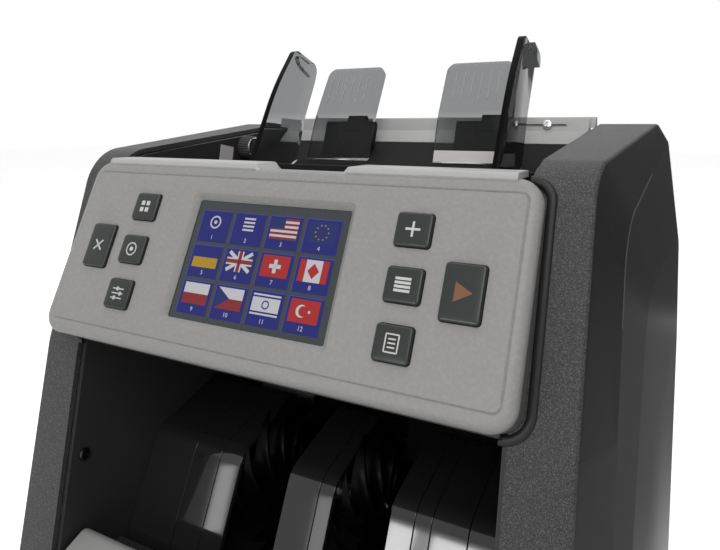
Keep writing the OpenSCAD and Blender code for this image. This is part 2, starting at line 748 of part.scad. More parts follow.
module rack(side) {
    // Teeth face the pinion at the middle of the machine
    span = guide_x + rack_reach;
    count = floor(span / rack_pitch);
    tip = 0.75 * rack_module;
    root = 1.15 * rack_module;
    translate([0, rail_at[0], rack_low]) linear_extrude(rack_h) {
        translate([-rack_reach, side * (pinion_r + root) - (side < 0 ? rack_back : 0)])
            square([span, rack_back]);
        for (i = [0:count - 1])
            let (x = rack_pitch * (i + 0.5) - rack_reach + (rack_reach % rack_pitch))
            polygon([[x - tooth_half - 0.6, side * (pinion_r + root + 0.2)],
                     [x - tooth_half + 0.4, side * (pinion_r - tip)],
                     [x + tooth_half - 0.4, side * (pinion_r - tip)],
                     [x + tooth_half + 0.6, side * (pinion_r + root + 0.2)]]);
    }
}
module carrier(side) {
    color("#202021")
    difference() {
        union() {
            translate([guide_x - carrier_in, rail_at[0] - 8, carrier_low])
                cube([carrier_w, 16, carrier_top - carrier_low]);
            // Socket that grips the guide's foot
            across(guide_x - foot_w / 2, guide_x + foot_w / 2)
                polygon([on_feed(slot_front + 1, -4.05), on_feed(slot_front + slot_len - 1, -4.05),
                         [rail_at[0] + 6, carrier_top - 1], [rail_at[0] - 4, carrier_top - 1]]);
            rack(side);
            translate([guide_x - carrier_in, rail_at[0] + (side < 0 ? -pinion_r - 8 : 6), rack_low])
                cube([carrier_w, pinion_r + 2, carrier_low - rack_low + 1]);
        }
        rod(rail_at, rail_r + run_gap, 0, body_w);
    }
}
module carrier_right() { carrier(-1); }
module carrier_left() { mirror([1, 0, 0]) carrier(1); }
rack_tray = 38.4;
tray_low = rack_low - 3.3;
pinion_pin_r = 3;
module guide_base() {
    color("#2b2b2c")
    union() {
        rod(rail_at, rail_r, -frame_x + 0.1, frame_x - 0.1);
        translate([-cross_x, rail_at[0] - rack_tray / 2, tray_low]) cube([2 * cross_x, rack_tray, 3]);
        translate([0, rail_at[0], tray_low + 2]) cylinder(r = pinion_pin_r, h = rack_h + 1.5);
    }
}
module guide_pinion() {
    color("#d8d4c6")
    translate([0, rail_at[0], rack_low]) difference() {
        linear_extrude(rack_h) {
            circle(r = pinion_r - 1.2 * rack_module);
            for (i = [0:pinion_teeth - 1]) rotate(90 + 360 * i / pinion_teeth)
                polygon([[pinion_r - 1.3 * rack_module, -tooth_half - 0.35], [pinion_r, -tooth_half],
                         [pinion_r + 0.75 * rack_module, -0.42], [pinion_r + 0.75 * rack_module, 0.42],
                         [pinion_r, tooth_half], [pinion_r - 1.3 * rack_module, tooth_half + 0.35]]);
        }
        translate([0, 0, -eps]) cylinder(r = pinion_pin_r + run_gap, h = rack_h + 2 * eps);
    }
}
knob_r = 7;
module gap_knob() {
    color("#2c2c2d")
    mirror([1, 0, 0]) union() {
        rod(knob_at, knob_r, liner_x - 9, liner_x - loose);
        rod(knob_at, knob_pin_r, liner_x - 2, cavity_x + 1.5);
        for (a = [0:30:330])
            translate([liner_x - 9, knob_at[0], knob_at[1]]) rotate([a, 0, 0])
                translate([0, knob_r - 0.4, -0.6]) cube([7, 1, 1.2]);
    }
}

// Rollers on their shafts, with the pulleys in the left cavity
belt_t = 1.4;
lane_gap = 1.5;
collar_end = 1.2;
function lane(i) = cavity_x + lane_gap + i * (belt_w + 1);
module pulley(at, i) {
    // A little wider than its belt
    mirror([1, 0, 0]) rod(at, pulley_r, lane(i) - 0.1, lane(i) + belt_w + 0.1);
}
module shaft(at, lanes) {
    // Ends flush with its outermost pulley on the left, just past the frame on the right
    rod(at, shaft_r, -lane(max(lanes)) - belt_w - 1, cavity_x + collar_end);
    rod(at, shaft_r + 1.5, cavity_x + loose, cavity_x + collar_end);
    for (i = lanes) pulley(at, i);
}
module rollers(at, r, x, w) {
    both_sides() rod(at, r, x - w / 2, x + w / 2);
}
module pickup_roller() {
    color("#8c6a52") union() { shaft(pickup_at, [2]); rollers(pickup_at, pickup_r, pickup_x,
        pickup_w); }
}
module feed_roller() {
    color("#8c6a52") union() { shaft(feed_at, [1, 2]); rollers(feed_at, feed_r, feed_x, feed_w); }
}
module plain_shaft(at) {
    rod(at, shaft_r, -cavity_x - collar_end, cavity_x + collar_end);
    both_sides() rod(at, shaft_r + 1.5, cavity_x + loose, cavity_x + collar_end);
}
module separator_roller() {
    color("#6b5a4c") union() { plain_shaft(separator_at); rollers(separator_at, separator_r, feed_x,
        feed_w); }
}
transport_x = 42;
transport_w = 18;
module transport_roller() {
    color("#4a4a4a") union() { shaft(transport_at, [0, 1]); rollers(transport_at, transport_r,
        transport_x, transport_w); }
}
module pinch_roller() {
    color("#55565a") union() { plain_shaft(pinch_at); rollers(pinch_at, pinch_r, transport_x,
        transport_w - 4); }
}
path_way = unit(transport_at - feed_at + transport_r * [0.41, 0.91] + feed_r * [0.41, 0.91]);
path_up = turned(path_way, 90);
path_mid = (transport_at + feed_at + (transport_r - feed_r) * path_up) / 2;
bar_half = 13;
bar_t = 16;
path_gap = 1;
module sensor_bars() {
    color("#1f2022")
    for (side = [-1, 1])
        let (near = side * path_gap * path_up, far = side * (path_gap + bar_t) * path_up)
        across(-cross_x, cross_x)
            polygon([path_mid - bar_half * path_way + near, path_mid + bar_half * path_way + near,
                     path_mid + (bar_half - 2) * path_way + far,
                         path_mid - (bar_half - 2) * path_way + far]);
}
ceiling_front = on_face(-panel_h / 2 + 1, -housing_deep - 1);
ceiling_rear = [42, 118];
module pocket_ceiling() {
    color("#242425")
    across(-cross_x, cross_x) polygon(sheet([ceiling_front, ceiling_rear], -2));
}

// Chute over the stacker shaft, in three segments, and the stacker wheels
chute_t = 3;
chute_rear = [36, 104];
chute_brow = [-13.5, 90.5];
chute_low = [-35.5, 45.5];
chute_path = bent([[chute_rear[0], floor_z], chute_rear, chute_brow, chute_low,
                   [chute_foot_y, pocket_floor_z - 6], [chute_foot_y, floor_z]], [0, 4, 14, 6, 0, 0]);
module chute(x0, x1) {
    color("#1d1d1e")
    difference() {
        across(x0, x1) polygon(sheet(chute_path, chute_t));
        rod(stacker_at, shaft_r + 3, x0 - eps, x1 + eps);
    }
}
module chute_left() { chute(-cross_x, -wheel_x - slot_w / 2); }
module chute_middle() { chute(-wheel_x + slot_w / 2, wheel_x - slot_w / 2); }
module chute_right() { chute(wheel_x + slot_w / 2, cross_x); }
hub_r = 12;
module stacker_shaft() {
    color("#b9bcbf") shaft(stacker_at, [0]);
}
blade_root_t = 3.4;
blade_tip_t = 0.7;
blade_sweep = 68;
blade_phase = -7;
blade_steps = 9;
function blade_side(side) =
    [for (i = [0:blade_steps])
        let (t = i / blade_steps, r = hub_r - 1 + (wheel_r - hub_r + 1) * t)
        let (half = (blade_root_t + (blade_tip_t - blade_root_t) * t) / 2)
        let (a = -blade_sweep * t + side * half / r * 180 / PI)
        r * [cos(a), sin(a)]];
module blade() {
    // Finger that curls upwards at the front and thins towards its tip
    polygon(concat(blade_side(-1), reversed(blade_side(1))));
}
module stacker_wheels() {
    color("#1b1b1c")
    both_sides()
    translate([wheel_x - wheel_w / 2, stacker_at[0], stacker_at[1]]) rotate([90, 0, 90])
        linear_extrude(wheel_w)
            difference() {
                union() {
                    circle(r = hub_r);
                    for (i = [0:wheel_blades - 1]) rotate(blade_phase + 360 * i / wheel_blades)
                        blade();
                }
                circle(r = shaft_r);
            }
}
stack_front_y = base_front_y + 8;
stack_rear_z = 60;
stack_front_z = 39;
module stack_tray() {
    color("#b3b3b1")
    across(-cross_x + 2.5, cross_x - 2.5)
        polygon(sheet(bent([[stack_front_y, stack_front_z + 9], [stack_front_y + 2, stack_front_z],
                            [stack_rear_y, stack_rear_z], [stack_rear_y, floor_z]],
                           [0, 4, 1.2, 0]), 3));
}

// Motors with their pulleys and the belts
motor_r = 17;
stacker_motor_r = 14;
motor_len = 42;
motor_pin_r = 2.5;
module motor(at, r) {
    color("#9a9da0")
    mirror([1, 0, 0]) difference() {
        union() {
            rod(at, r, cross_x - motor_len, cross_x);
            rod(at, 5, cross_x - 1, frame_x);
        }
        rod(at, motor_pin_r + run_gap, cross_x - 18, frame_x + eps);
    }
}
module motor_pulley(at) {
    color("#c9b458")
    union() {
        mirror([1, 0, 0]) rod(at, motor_pin_r, cross_x - 16, lane(0) + belt_w + 2);
        pulley(at, 0);
    }
}
module main_motor() { motor(motor_at, motor_r); }
module stacker_motor() { motor(stacker_motor_at, stacker_motor_r); }
module main_pulley() { motor_pulley(motor_at); }
module stacker_pulley() { motor_pulley(stacker_motor_at); }
function loop(a, b, r, n = 24) =
    let (side = r * left_of(a, b))
    concat([for (i = [0:n]) a + turned(side, 180 * i / n)], [for (i = [0:n]) b + turned(-side,
        180 * i / n)]);
module belt(a, b, i) {
    mirror([1, 0, 0]) across(lane(i), lane(i) + belt_w) difference() {
        polygon(loop(a, b, pulley_r + loose + belt_t));
        polygon(loop(a, b, pulley_r + loose));
    }
}
module drive_belts() {
    color("#1a1a1a") {
        belt(motor_at, transport_at, 0);
        belt(transport_at, feed_at, 1);
        belt(feed_at, pickup_at, 2);
        belt(stacker_motor_at, stacker_at, 0);
    }
}

// Electronics on the floor and at the rear
module main_board() {
    color("#2f6b45")
    union() {
        translate([board_x[0], board_y[0], board_z])
            cube([board_x[1] - board_x[0], board_y[1] - board_y[0], 1.6]);
        translate([board_x[0] + 26, board_y[0] + 12, board_z + 1.5]) cube([18, 18, 2.1]);
        for (i = [0:3]) translate([board_x[0] + 8 + 18 * i, board_y[1] - 8, board_z + 1.5])
            cube([14, 6, 9]);
        for (i = [0:2]) translate([board_x[1] - 14, board_y[0] + 10 + 10 * i,
            board_z + 1.5]) cylinder(r = 4, h = 12);
    }
}
unit_x = [48, 98];
unit_y = [62, 92];
unit_h = 42;
module power_unit() {
    color("#a9acae")
    difference() {
        translate([unit_x[0], unit_y[0], floor_z]) cube([unit_x[1] - unit_x[0],
            unit_y[1] - unit_y[0], unit_h]);
        for (i = [0:7]) translate([unit_x[0] + 6 + 5 * i, unit_y[0] + 5, floor_z + unit_h - 2])
            cube([2.4, unit_y[1] - unit_y[0] - 10, 3]);
    }
}
inlet_at = [66, 36];
inlet_w = 28;
inlet_h = 48;
inlet_deep = 20;
rocker_up = 12;
rocker_axis = [rear_panel_y + 0.5, inlet_at[1] + rocker_up];
rocker_pin_r = 1.5;
rocker_tilt = 9;
module power_inlet() {
    color("#161616")
    difference() {
        union() {
            translate([inlet_at[0] - inlet_w / 2, rear_panel_y - inlet_deep, inlet_at[1] - inlet_h / 2])
                cube([inlet_w, inlet_deep + 0.5, inlet_h]);
            translate([inlet_at[0], rear_panel_y + 2, inlet_at[1]]) rotate([90, 0, 0])
                linear_extrude(2) polygon(oblong(inlet_w + 5, inlet_h + 5, 2));
        }
        // Socket for the mains lead, with three blades left standing
        translate([inlet_at[0], rear_panel_y + 2 + eps, inlet_at[1] - rocker_up]) rotate([90, 0, 0])
            difference() {
                linear_extrude(16 + eps)
                    polygon(rounded([[-12, -8], [12, -8], [12, 4], [8, 8], [-8, 8], [-12, 4]],
                                    [1, 1, 1, 1, 1, 1]));
                for (p = [[-7, -2], [0, 3], [7, -2]])
                    translate([p[0] - 1, p[1] - 2, 4 + eps]) cube([2, 4, 13]);
            }
        // Well of the rocker
        translate([inlet_at[0] - 10.4, rear_panel_y - 11, inlet_at[1] + rocker_up - 8])
            cube([20.8, 14, 16]);
        rod(rocker_axis, rocker_pin_r + run_gap, inlet_at[0] - 12.6, inlet_at[0] + 12.6);
    }
}
module power_rocker() {
    color("#b33a2e")
    union() {
        across(inlet_at[0] - 10, inlet_at[0] + 10)
            translate(rocker_axis) rotate(-rocker_tilt)
                polygon(rounded([[-6, -3], [-6, 3], [0.5, 7], [3.4, 6.6], [2, 0], [3.4, -6.6], [0.5, -7]],
                                [1, 1, 0.6, 0.6, 0, 0.6, 0.6], 3));
        rod(rocker_axis, rocker_pin_r, inlet_at[0] - 12.4, inlet_at[0] + 12.4);
    }
}
door_x = 80;
door_low = 112;
door_high = 226;
hinge_at = [rear_panel_y + 3.4, door_low];
hinge_pin_r = 2;
hinge_r = 3.2;
lug_w = 6;
knuckle_x = door_x - lug_w - 4;
rear_panel_top = back_low_z - 0.2;
module rear_panel() {
    color("#3e3e3f")
    difference() {
        union() {
            translate([-frame_x + loose, inner_rear_y, floor_z])
                cube([2 * (frame_x - loose), rear_panel_t, rear_panel_top - floor_z]);
            both_sides() {
                rod(hinge_at, hinge_r, knuckle_x + loose, knuckle_x + loose + lug_w);
                across(knuckle_x + loose, knuckle_x + loose + lug_w)
                    polygon([hinge_at + [-hinge_r, -1], hinge_at + [hinge_r, 0],
                             [rear_panel_y - 0.5, door_low - 12],
                             [rear_panel_y - 0.5, door_low - 3]]);
            }
        }
        translate([-door_x - loose, inner_rear_y - eps, door_low - 2])
            cube([2 * (door_x + loose), rear_panel_t + eps, door_high - door_low + 2 + loose]);
        rod(hinge_at, hinge_pin_r + run_gap, -body_w, body_w);
        translate([inlet_at[0] - inlet_w / 2 - 0.1, inner_rear_y - eps, inlet_at[1] - inlet_h / 2 - 0.1])
            cube([inlet_w + 0.2, rear_panel_t + 2 * eps, inlet_h + 0.2]);
        // Vent louvres
        for (i = [0:6]) translate([-70, inner_rear_y - eps, 40 + 7 * i])
            cube([60, rear_panel_t + 2 * eps, 3]);
    }
}
pull_x = 16;
module rear_door() {
    color("#454546")
    difference() {
        union() {
            translate([-door_x, inner_rear_y, door_low + 1])
                cube([2 * door_x, rear_panel_t, door_high - door_low - 1]);
            rod(hinge_at, hinge_r, -knuckle_x, knuckle_x);
            rod(hinge_at, hinge_pin_r, -knuckle_x - lug_w, knuckle_x + lug_w);
            across(-knuckle_x, knuckle_x)
                polygon([hinge_at + [-hinge_r, 0], hinge_at + [hinge_r, 0],
                         [rear_panel_y - 0.5, door_low + 9],
                         [rear_panel_y - 0.5, door_low + 1]]);
            // Pull lip
            translate([-pull_x, rear_panel_y - 0.5, door_high - 14]) cube([2 * pull_x, 4.5, 3]);
        }
        translate([-pull_x, rear_panel_y - 1, door_high - 11]) cube([2 * pull_x, 2, 7]);
    }
}

base_tray();
feet();
cover_left();
cover_right();
frame_left();
frame_right();
liner_left();
liner_right();
liner_screws();
bezel();
panel_housing();
display_glass();
display_module();
key_board();
for (k = keys)
    key(k);
hopper_front();
feed_plate();
hopper_back();
tray_screw();
rest_left();
rest_right();
rest_blocks();
guide_left();
guide_right();
carrier_left();
carrier_right();
guide_base();
guide_pinion();
gap_knob();
pickup_roller();
feed_roller();
separator_roller();
transport_roller();
pinch_roller();
sensor_bars();
pocket_ceiling();
chute_left();
chute_middle();
chute_right();
stacker_shaft();
stacker_wheels();
stack_tray();
main_motor();
main_pulley();
stacker_motor();
stacker_pulley();
drive_belts();
main_board();
power_unit();
power_inlet();
power_rocker();
rear_panel();
rear_door();
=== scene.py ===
"""Looks of a table-top banknote counter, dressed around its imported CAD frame."""

import math

import bmesh
import bpy
from mathutils import Matrix, Vector


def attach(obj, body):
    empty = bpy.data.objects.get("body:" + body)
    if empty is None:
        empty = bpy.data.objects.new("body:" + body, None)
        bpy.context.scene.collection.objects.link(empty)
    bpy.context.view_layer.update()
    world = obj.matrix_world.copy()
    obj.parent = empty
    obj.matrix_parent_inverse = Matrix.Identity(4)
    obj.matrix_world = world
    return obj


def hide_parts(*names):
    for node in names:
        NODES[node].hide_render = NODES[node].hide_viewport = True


bl_info = {
    "name": "Banknote counter",
    "version": (1, 0, 0),
    "blender": (4, 5, 0),
    "location": "View3D > Sidebar > Counter",
    "description": "Builds the shells, panel, hopper and stacker of a banknote counter",
    "category": "Object",
}

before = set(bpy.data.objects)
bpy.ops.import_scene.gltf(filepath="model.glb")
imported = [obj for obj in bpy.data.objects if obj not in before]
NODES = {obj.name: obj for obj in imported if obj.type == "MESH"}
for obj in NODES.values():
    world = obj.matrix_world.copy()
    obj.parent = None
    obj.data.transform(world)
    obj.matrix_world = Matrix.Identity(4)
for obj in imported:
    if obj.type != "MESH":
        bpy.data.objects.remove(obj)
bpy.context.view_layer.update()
MM = 0.001

# Sizes that the solids share, in millimetres
PANEL_Y, PANEL_Z = -56.0, 200.0
POST_SET_BACK, POST_TOP_BACK = 19.0, 6.5
POST_OVER, POST_UNDER = 6.7, 5.0
FLOOR_Z, REAR_Y, BODY_H = 6.5, 122.0, 256.0
LINER_X, FRAME_X, CROSS_X = 100.0, 102.0, 99.8
FEED_FOOT, FEED_SLOPE, FEED_LENGTH = (4.0, 193.0), 27.7, 109.0
KNOB_AT, STACKER_AT = (64.0, 240.0), (8.0, 72.0)
REAR_PANEL_Y = 115.4


# Sizes and colours that a user would change

def length(name, description, mm):
    """Length property, kept in metres and given in millimetres."""
    return bpy.props.FloatProperty(name=name, description=description, default=mm * MM, min=0, precision=4,
                                   subtype="DISTANCE", unit="LENGTH")


class CounterSizes(bpy.types.PropertyGroup):
    """Sizes of the dressed pieces"""
    panel_w: length("Panel width", "Width of the silver panel", 214.6)
    panel_h: length("Panel height", "Height of the panel along its slope", 82.6)
    panel_tilt: bpy.props.FloatProperty(name="Panel tilt", description="Lean of the panel back from upright",
                                        default=math.radians(25.7), subtype="ANGLE", unit="ROTATION")
    panel_edge: length("Panel edge", "Thickness of the panel's edge", 6.0)
    panel_r: length("Panel corner", "Corner radius of the panel", 9.0)
    edge_round: length("Panel edge rounding", "Rounding of the panel's rim", 3.4)
    groove_w: length("Groove width", "Width between the grooves", 206.1)
    groove_h: length("Groove height", "Height between the grooves", 70.6)
    window_w: length("Window width", "Width of the display window", 75.0)
    window_h: length("Window height", "Height of the display window", 50.8)
    window_chamfer: length("Window chamfer", "Bevel around the window", 2.6)
    key_proud: length("Key height", "How far the keys stand proud", 1.5)
    key_round: length("Key rounding", "Rounded edge of the keys", 0.9)
    key_gap: length("Key gap", "Gap around each key", 0.25)
    guide_t: length("Guide thickness", "Thickness of the side guides", 3.5)
    guide_x: length("Guide place", "Distance of each guide from the middle", 70.0)
    rest_t: length("Rest thickness", "Thickness of the rear rests", 3.0)
    chute_t: length("Chute wall", "Wall of the chute", 3.0)
    chute_seam: length("Chute seam", "Gap between the chute's strips", 0.3)
    wheel_r: length("Wheel radius", "Tip radius of the stacker wheels", 40.0)
    wheel_w: length("Wheel width", "Width of the stacker wheels", 12.0)
    wheel_x: length("Wheel place", "Distance of each wheel from the middle", 27.0)
    rim_w: length("Rim width", "Width of the moulded rim on the posts", 3.4)
    rim_h: length("Rim height", "Height of the moulded rim on the posts", 1.0)
    wheel_blades: bpy.props.IntProperty(name="Blades", description="Blades on a stacker wheel",
                                        default=12, min=1)
    rest_ribs: bpy.props.IntProperty(name="Rest ribs", description="Ribs on a rear rest", default=6, min=1)


def colour_prop(name, description, srgb):
    """Colour property whose default is given in 0-255 display values."""
    linear = [((c / 255 + 0.055) / 1.055) ** 2.4 if c > 10 else c / 255 / 12.92 for c in srgb]
    return bpy.props.FloatVectorProperty(name=name, description=description, subtype="COLOR", size=3,
                                         min=0, max=1, default=linear)


class CounterColours(bpy.types.PropertyGroup):
    """Colours of the finishes"""
    silver: colour_prop("Silver", "Silver paint of the panel", (150, 149, 147))
    shell: colour_prop("Shell", "Textured posts and top bands", (50, 50, 50))
    side: colour_prop("Side", "Smooth flanks of the covers", (42, 42, 42))
    rim: colour_prop("Rim", "Housing behind the panel", (88, 88, 88))
    liner: colour_prop("Liner", "Pocket liners and hopper walls", (52, 52, 52))
    black: colour_prop("Black", "Glossy chute and wheels", (38, 38, 39))
    key: colour_prop("Key", "Push keys", (38, 41, 40))
    legend: colour_prop("Legend", "Printed signs on the keys", (205, 205, 202))
    start_legend: colour_prop("Start legend", "Sign on the start key", (120, 74, 44))
    light_grey: colour_prop("Light grey", "Back ledge and stack tray", (160, 160, 159))
    smoke: colour_prop("Smoke", "Smoked clear plastic", (140, 141, 142))
    screen: colour_prop("Screen", "Dark ground of the display", (44, 50, 54))
    tile: colour_prop("Tile", "Tiles on the display", (37, 42, 122))
    base: colour_prop("Base", "Base tray", (52, 52, 52))


class Millimetres:
    """Reads the sizes in millimetres, and counts and angles as they are."""

    def __getattr__(self, key):
        group = bpy.context.scene.counter_sizes
        value = getattr(group, key)
        return value / MM if group.bl_rna.properties[key].subtype == "DISTANCE" else value


def sizes():
    """Sizes in millimetres."""
    return Millimetres()


def colours():
    """Colours of the finishes."""
    return bpy.context.scene.counter_colours


# Outlines and places

def on_face(v, w):
    """Point (y, z) at height v up the panel and w out of its face."""
    t = sizes().panel_tilt
    return (PANEL_Y + v * math.sin(t) - w * math.cos(t), PANEL_Z + v * math.cos(t) + w * math.sin(t))


def panel_point(x, v, w):
    """Point at x along the panel, height v up it and w out of its face."""
    y, z = on_face(v, w)
    return (x, y, z)


def post_depth(v):
    """How far behind the panel face the posts' front lies at height v."""
    h = sizes().panel_h
    share = (v + h / 2 + POST_UNDER) / (h + POST_UNDER + POST_OVER)
    return -POST_SET_BACK + share * (POST_SET_BACK - POST_TOP_BACK)


def on_feed(d, up):
    """Point (y, z) at d along the feed plate and up from its face."""
    a = math.radians(FEED_SLOPE)
    y = FEED_FOOT[0] + d * math.cos(a) - up * math.sin(a)
    return (y, FEED_FOOT[1] + d * math.sin(a) + up * math.cos(a))


def around(at, r, a):
    """Point (y, z) at a radius and an angle round an axis along X."""
    return (at[0] + r * math.cos(a), at[1] + r * math.sin(a))


def between(a, b, k):
    """Point at the share k of the way from a to b."""
    return tuple(p + (q - p) * k for p, q in zip(a, b))


def box(x, y, w, h):
    """Rectangle round a point."""
    return [(x - w / 2, y - h / 2), (x + w / 2, y - h / 2), (x + w / 2, y + h / 2), (x - w / 2, y + h / 2)]


def fillet(p, a, b, r, n):
    """Arc of radius r that rounds the corner p between a and b."""
    p, a, b = Vector(p), Vector(a), Vector(b)
    u, w = (a - p).normalized(), (b - p).normalized()
    half = math.acos(max(-1, min(1, u.dot(w)))) / 2
    c = p + (u + w).normalized() * r / math.sin(half)
    s = p + u * r / math.tan(half) - c
    e = p + w * r / math.tan(half) - c
    way = 1 if s.x * e.y - s.y * e.x > 0 else -1
    points = []
    for i in range(n + 1):
        k = way * (math.pi - 2 * half) * i / n
        x = c.x + s.x * math.cos(k) - s.y * math.sin(k)
        points.append((x, c.y + s.x * math.sin(k) + s.y * math.cos(k)))
    return points


def rounded(points, radii, n=10):
    """Closed outline with rounded corners; a radius of 0 keeps the corner."""
    m, out = len(points), []
    for i, p in enumerate(points):
        out += fillet(p, points[i - 1], points[(i + 1) % m], radii[i], n) if radii[i] > 0 else [tuple(p)]
    return out


def bent(path, radii, n=14):
    """Open path with rounded bends."""
    out = []
    for i, p in enumerate(path):
        out += fillet(p, path[i - 1], path[i + 1], radii[i], n) if radii[i] > 0 else [tuple(p)]
    return out


def oblong(w, h, r, n=8):
    """Rectangle round the origin with rounded corners."""
    return rounded(box(0, 0, w, h), [max(r, 0.05)] * 4, n)


def left_of(a, b):
    """Unit vector to the left of the way from a to b."""
    d = (Vector(b) - Vector(a)).normalized()
    return Vector((-d.y, d.x))


def beside(path, t):
    """Path moved to its left by t, with mitred corners."""
    out = []
    for i, p in enumerate(path):
        before = left_of(path[max(i - 1, 0)], path[max(i, 1)])
        after = left_of(path[min(i, len(path) - 2)], path[min(i + 1, len(path) - 1)])
        q = Vector(p) + t * (before + after) / (1 + before.dot(after))
        out.append((q.x, q.y))
    return out


def sheet_outline(path, t):
    """Outline of a bent sheet of thickness t."""
    return list(path) + beside(path, t)[::-1]


def inset(points, d):
    """Closed outline moved inwards by d."""
    m, out = len(points), []
    for i, p in enumerate(points):
        before, after = left_of(points[i - 1], p), left_of(p, points[(i + 1) % m])
        q = Vector(p) + d * (before + after) / (1 + before.dot(after))
        out.append((q.x, q.y))
    return out


# Meshes

class Shape:
    """Collects vertices in millimetres and faces with a material index."""

    def __init__(self):
        self.verts, self.faces, self.marks = [], [], []

    def add(self, verts, faces, mark=0):
        """Takes in vertices and the faces between them."""
        k = len(self.verts)
        self.verts += [tuple(v) for v in verts]
        self.faces += [[i + k for i in f] for f in faces]
        self.marks += [mark] * len(faces)

    def loft(self, rings, mark=0, caps=(True, True), closed=True):
        """Skins rings of equal length, from the first to the last."""
        n, m = len(rings[0]), len(rings)
        faces = []
        for k in range(m - 1):
            for i in range(n if closed else n - 1):
                a, b = k * n + i, k * n + (i + 1) % n
                faces.append([a, b, b + n, a + n])
        if caps[0]:
            faces.append(list(range(n))[::-1])
        if caps[1]:
            faces.append([(m - 1) * n + i for i in range(n)])
        self.add([p for r in rings for p in r], faces, mark)

    def hoop(self, rings, mark=0):
        """Skins rings of equal length and joins the last to the first."""
        n, m = len(rings[0]), len(rings)
        faces = [[k * n + i, k * n + (i + 1) % n, (k + 1) % m * n + (i + 1) % n, (k + 1) % m * n + i]
                 for k in range(m) for i in range(n)]
        self.add([p for r in rings for p in r], faces, mark)

    def prism(self, outline, x0, x1, mark=0):
        """Outline of the Y-Z plane, drawn out along X."""
        self.loft([[(x0, y, z) for y, z in outline], [(x1, y, z) for y, z in outline]], mark)

    def slab(self, outline, w0, w1, mark=0):
        """Outline of the panel's plane, drawn out along its normal."""
        self.loft([[panel_point(x, v, w) for x, v in outline] for w in (w0, w1)], mark)


def link(obj):
    """Puts an object into the scene."""
    bpy.context.scene.collection.objects.link(obj)
    return obj


def make(name, shape, materials, smooth=35, bevel=0.0, merge=True):
    """Mesh object at the origin, with outward normals and edges sharp past the given angle."""
    mesh = bpy.data.meshes.new(name)
    mesh.from_pydata([[c * MM for c in v] for v in shape.verts], [], shape.faces)
    for m in materials:
        mesh.materials.append(m)
    mesh.polygons.foreach_set("material_index", shape.marks)
    bm = bmesh.new()
    bm.from_mesh(mesh)
    if merge:
        bmesh.ops.remove_doubles(bm, verts=bm.verts, dist=1e-6)
    bmesh.ops.recalc_face_normals(bm, faces=bm.faces)
    bm.to_mesh(mesh)
    bm.free()
    obj = link(bpy.data.objects.new(name, mesh))
    shade(obj, smooth)
    if bevel:
        soften(obj, bevel, smooth=smooth)
    return obj


def soften(obj, width, angle=32, smooth=30):
    """Rounds the edges past an angle."""
    m = obj.modifiers.new("Edges", "BEVEL")
    m.width, m.segments, m.limit_method = width * MM, 2, "ANGLE"
    m.angle_limit = math.radians(angle)
    settle(obj, smooth)


def shade(obj, angle):
    """Smooth shading, with edges sharp past an angle."""
    mesh = obj.data
    mesh.polygons.foreach_set("use_smooth", [True] * len(mesh.polygons))
    mesh.set_sharp_from_angle(angle=math.radians(angle))
    mesh.update()


def settle(obj, smooth=35):
    """Turns an object's modifiers into its plain mesh."""
    graph = bpy.context.evaluated_depsgraph_get()
    graph.update()
    mesh = bpy.data.meshes.new_from_object(obj.evaluated_get(graph))
    old = obj.data
    obj.modifiers.clear()
    obj.data = mesh
    mesh.name = obj.name
    bpy.data.meshes.remove(old)
    shade(obj, smooth)


def dress(obj, body, slot, *replaced):
    """Piece rides on a body and stands for CAD nodes, which it hides; the slot argument is not used."""
    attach(obj, body)
    if replaced:
        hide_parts(*replaced)


# Lean along X below which a face's normal counts as straight
STRAIGHT = 0.02


def even_normals(obj):
    """Sharp edges beside the faces that run straight across, so that small bevels don't shade them."""
    bm = bmesh.new()
    bm.from_mesh(obj.data)
    for edge in bm.edges:
        if len({abs(face.normal.x) < STRAIGHT for face in edge.link_faces}) == 2:
            edge.smooth = False
    bm.to_mesh(obj.data)
    bm.free()


def cut(obj, cutters, operation="DIFFERENCE"):
    """Cuts other objects out of a piece, or joins them to it."""
    for c in cutters:
        m = obj.modifiers.new("Cut", "BOOLEAN")
        m.operation, m.object, m.solver = operation, c, "EXACT"
    settle(obj)
    for c in cutters:
        bpy.data.objects.remove(c)


# Shared shader groups

def socket(tree, name, way, kind, default=None):
    """Adds a socket to a node tree."""
    s = tree.interface.new_socket(name=name, in_out=way, socket_type=kind)
    if default is not None:
        s.default_value = default


def new_group(name, ins, outs):
    """Shader node group with its sockets."""
    tree = bpy.data.node_groups.new(name, "ShaderNodeTree")
    for label, kind, default in ins:
        socket(tree, label, "INPUT", kind, default)
    for label, kind in outs:
        socket(tree, label, "OUTPUT", kind)
    return tree, tree.nodes.new("NodeGroupInput"), tree.nodes.new("NodeGroupOutput")


def math_node(tree, op, a, b=None, clamp=False):
    """Math node on values or sockets."""
    n = tree.nodes.new("ShaderNodeMath")
    n.operation, n.use_clamp = op, clamp
    for i, v in enumerate((a, b)):
        if v is None:
            continue
        if isinstance(v, (int, float)):
            n.inputs[i].default_value = v
        else:
            tree.links.new(v, n.inputs[i])
    return n.outputs[0]


def noise(tree, vector, scale, detail=2.0, rough=0.5):
    """Noise texture over a vector."""
    n = tree.nodes.new("ShaderNodeTexNoise")
    tree.links.new(vector, n.inputs["Vector"])
    if isinstance(scale, (int, float)):
        n.inputs["Scale"].default_value = scale
    else:
        tree.links.new(scale, n.inputs["Scale"])
    n.inputs["Detail"].default_value = detail
    n.inputs["Roughness"].default_value = rough
    return n.outputs["Fac"]


# Noise above the first value shows as painted glints, with the second as gain
GLINT_FROM, GLINT_GAIN = 0.47, 5.0
# Scales of the slow clouds and of the dust, and the clouds' share
CLOUD_SCALE, DUST_SCALE, CLOUD_SHARE = 14.0, 160.0, 0.7


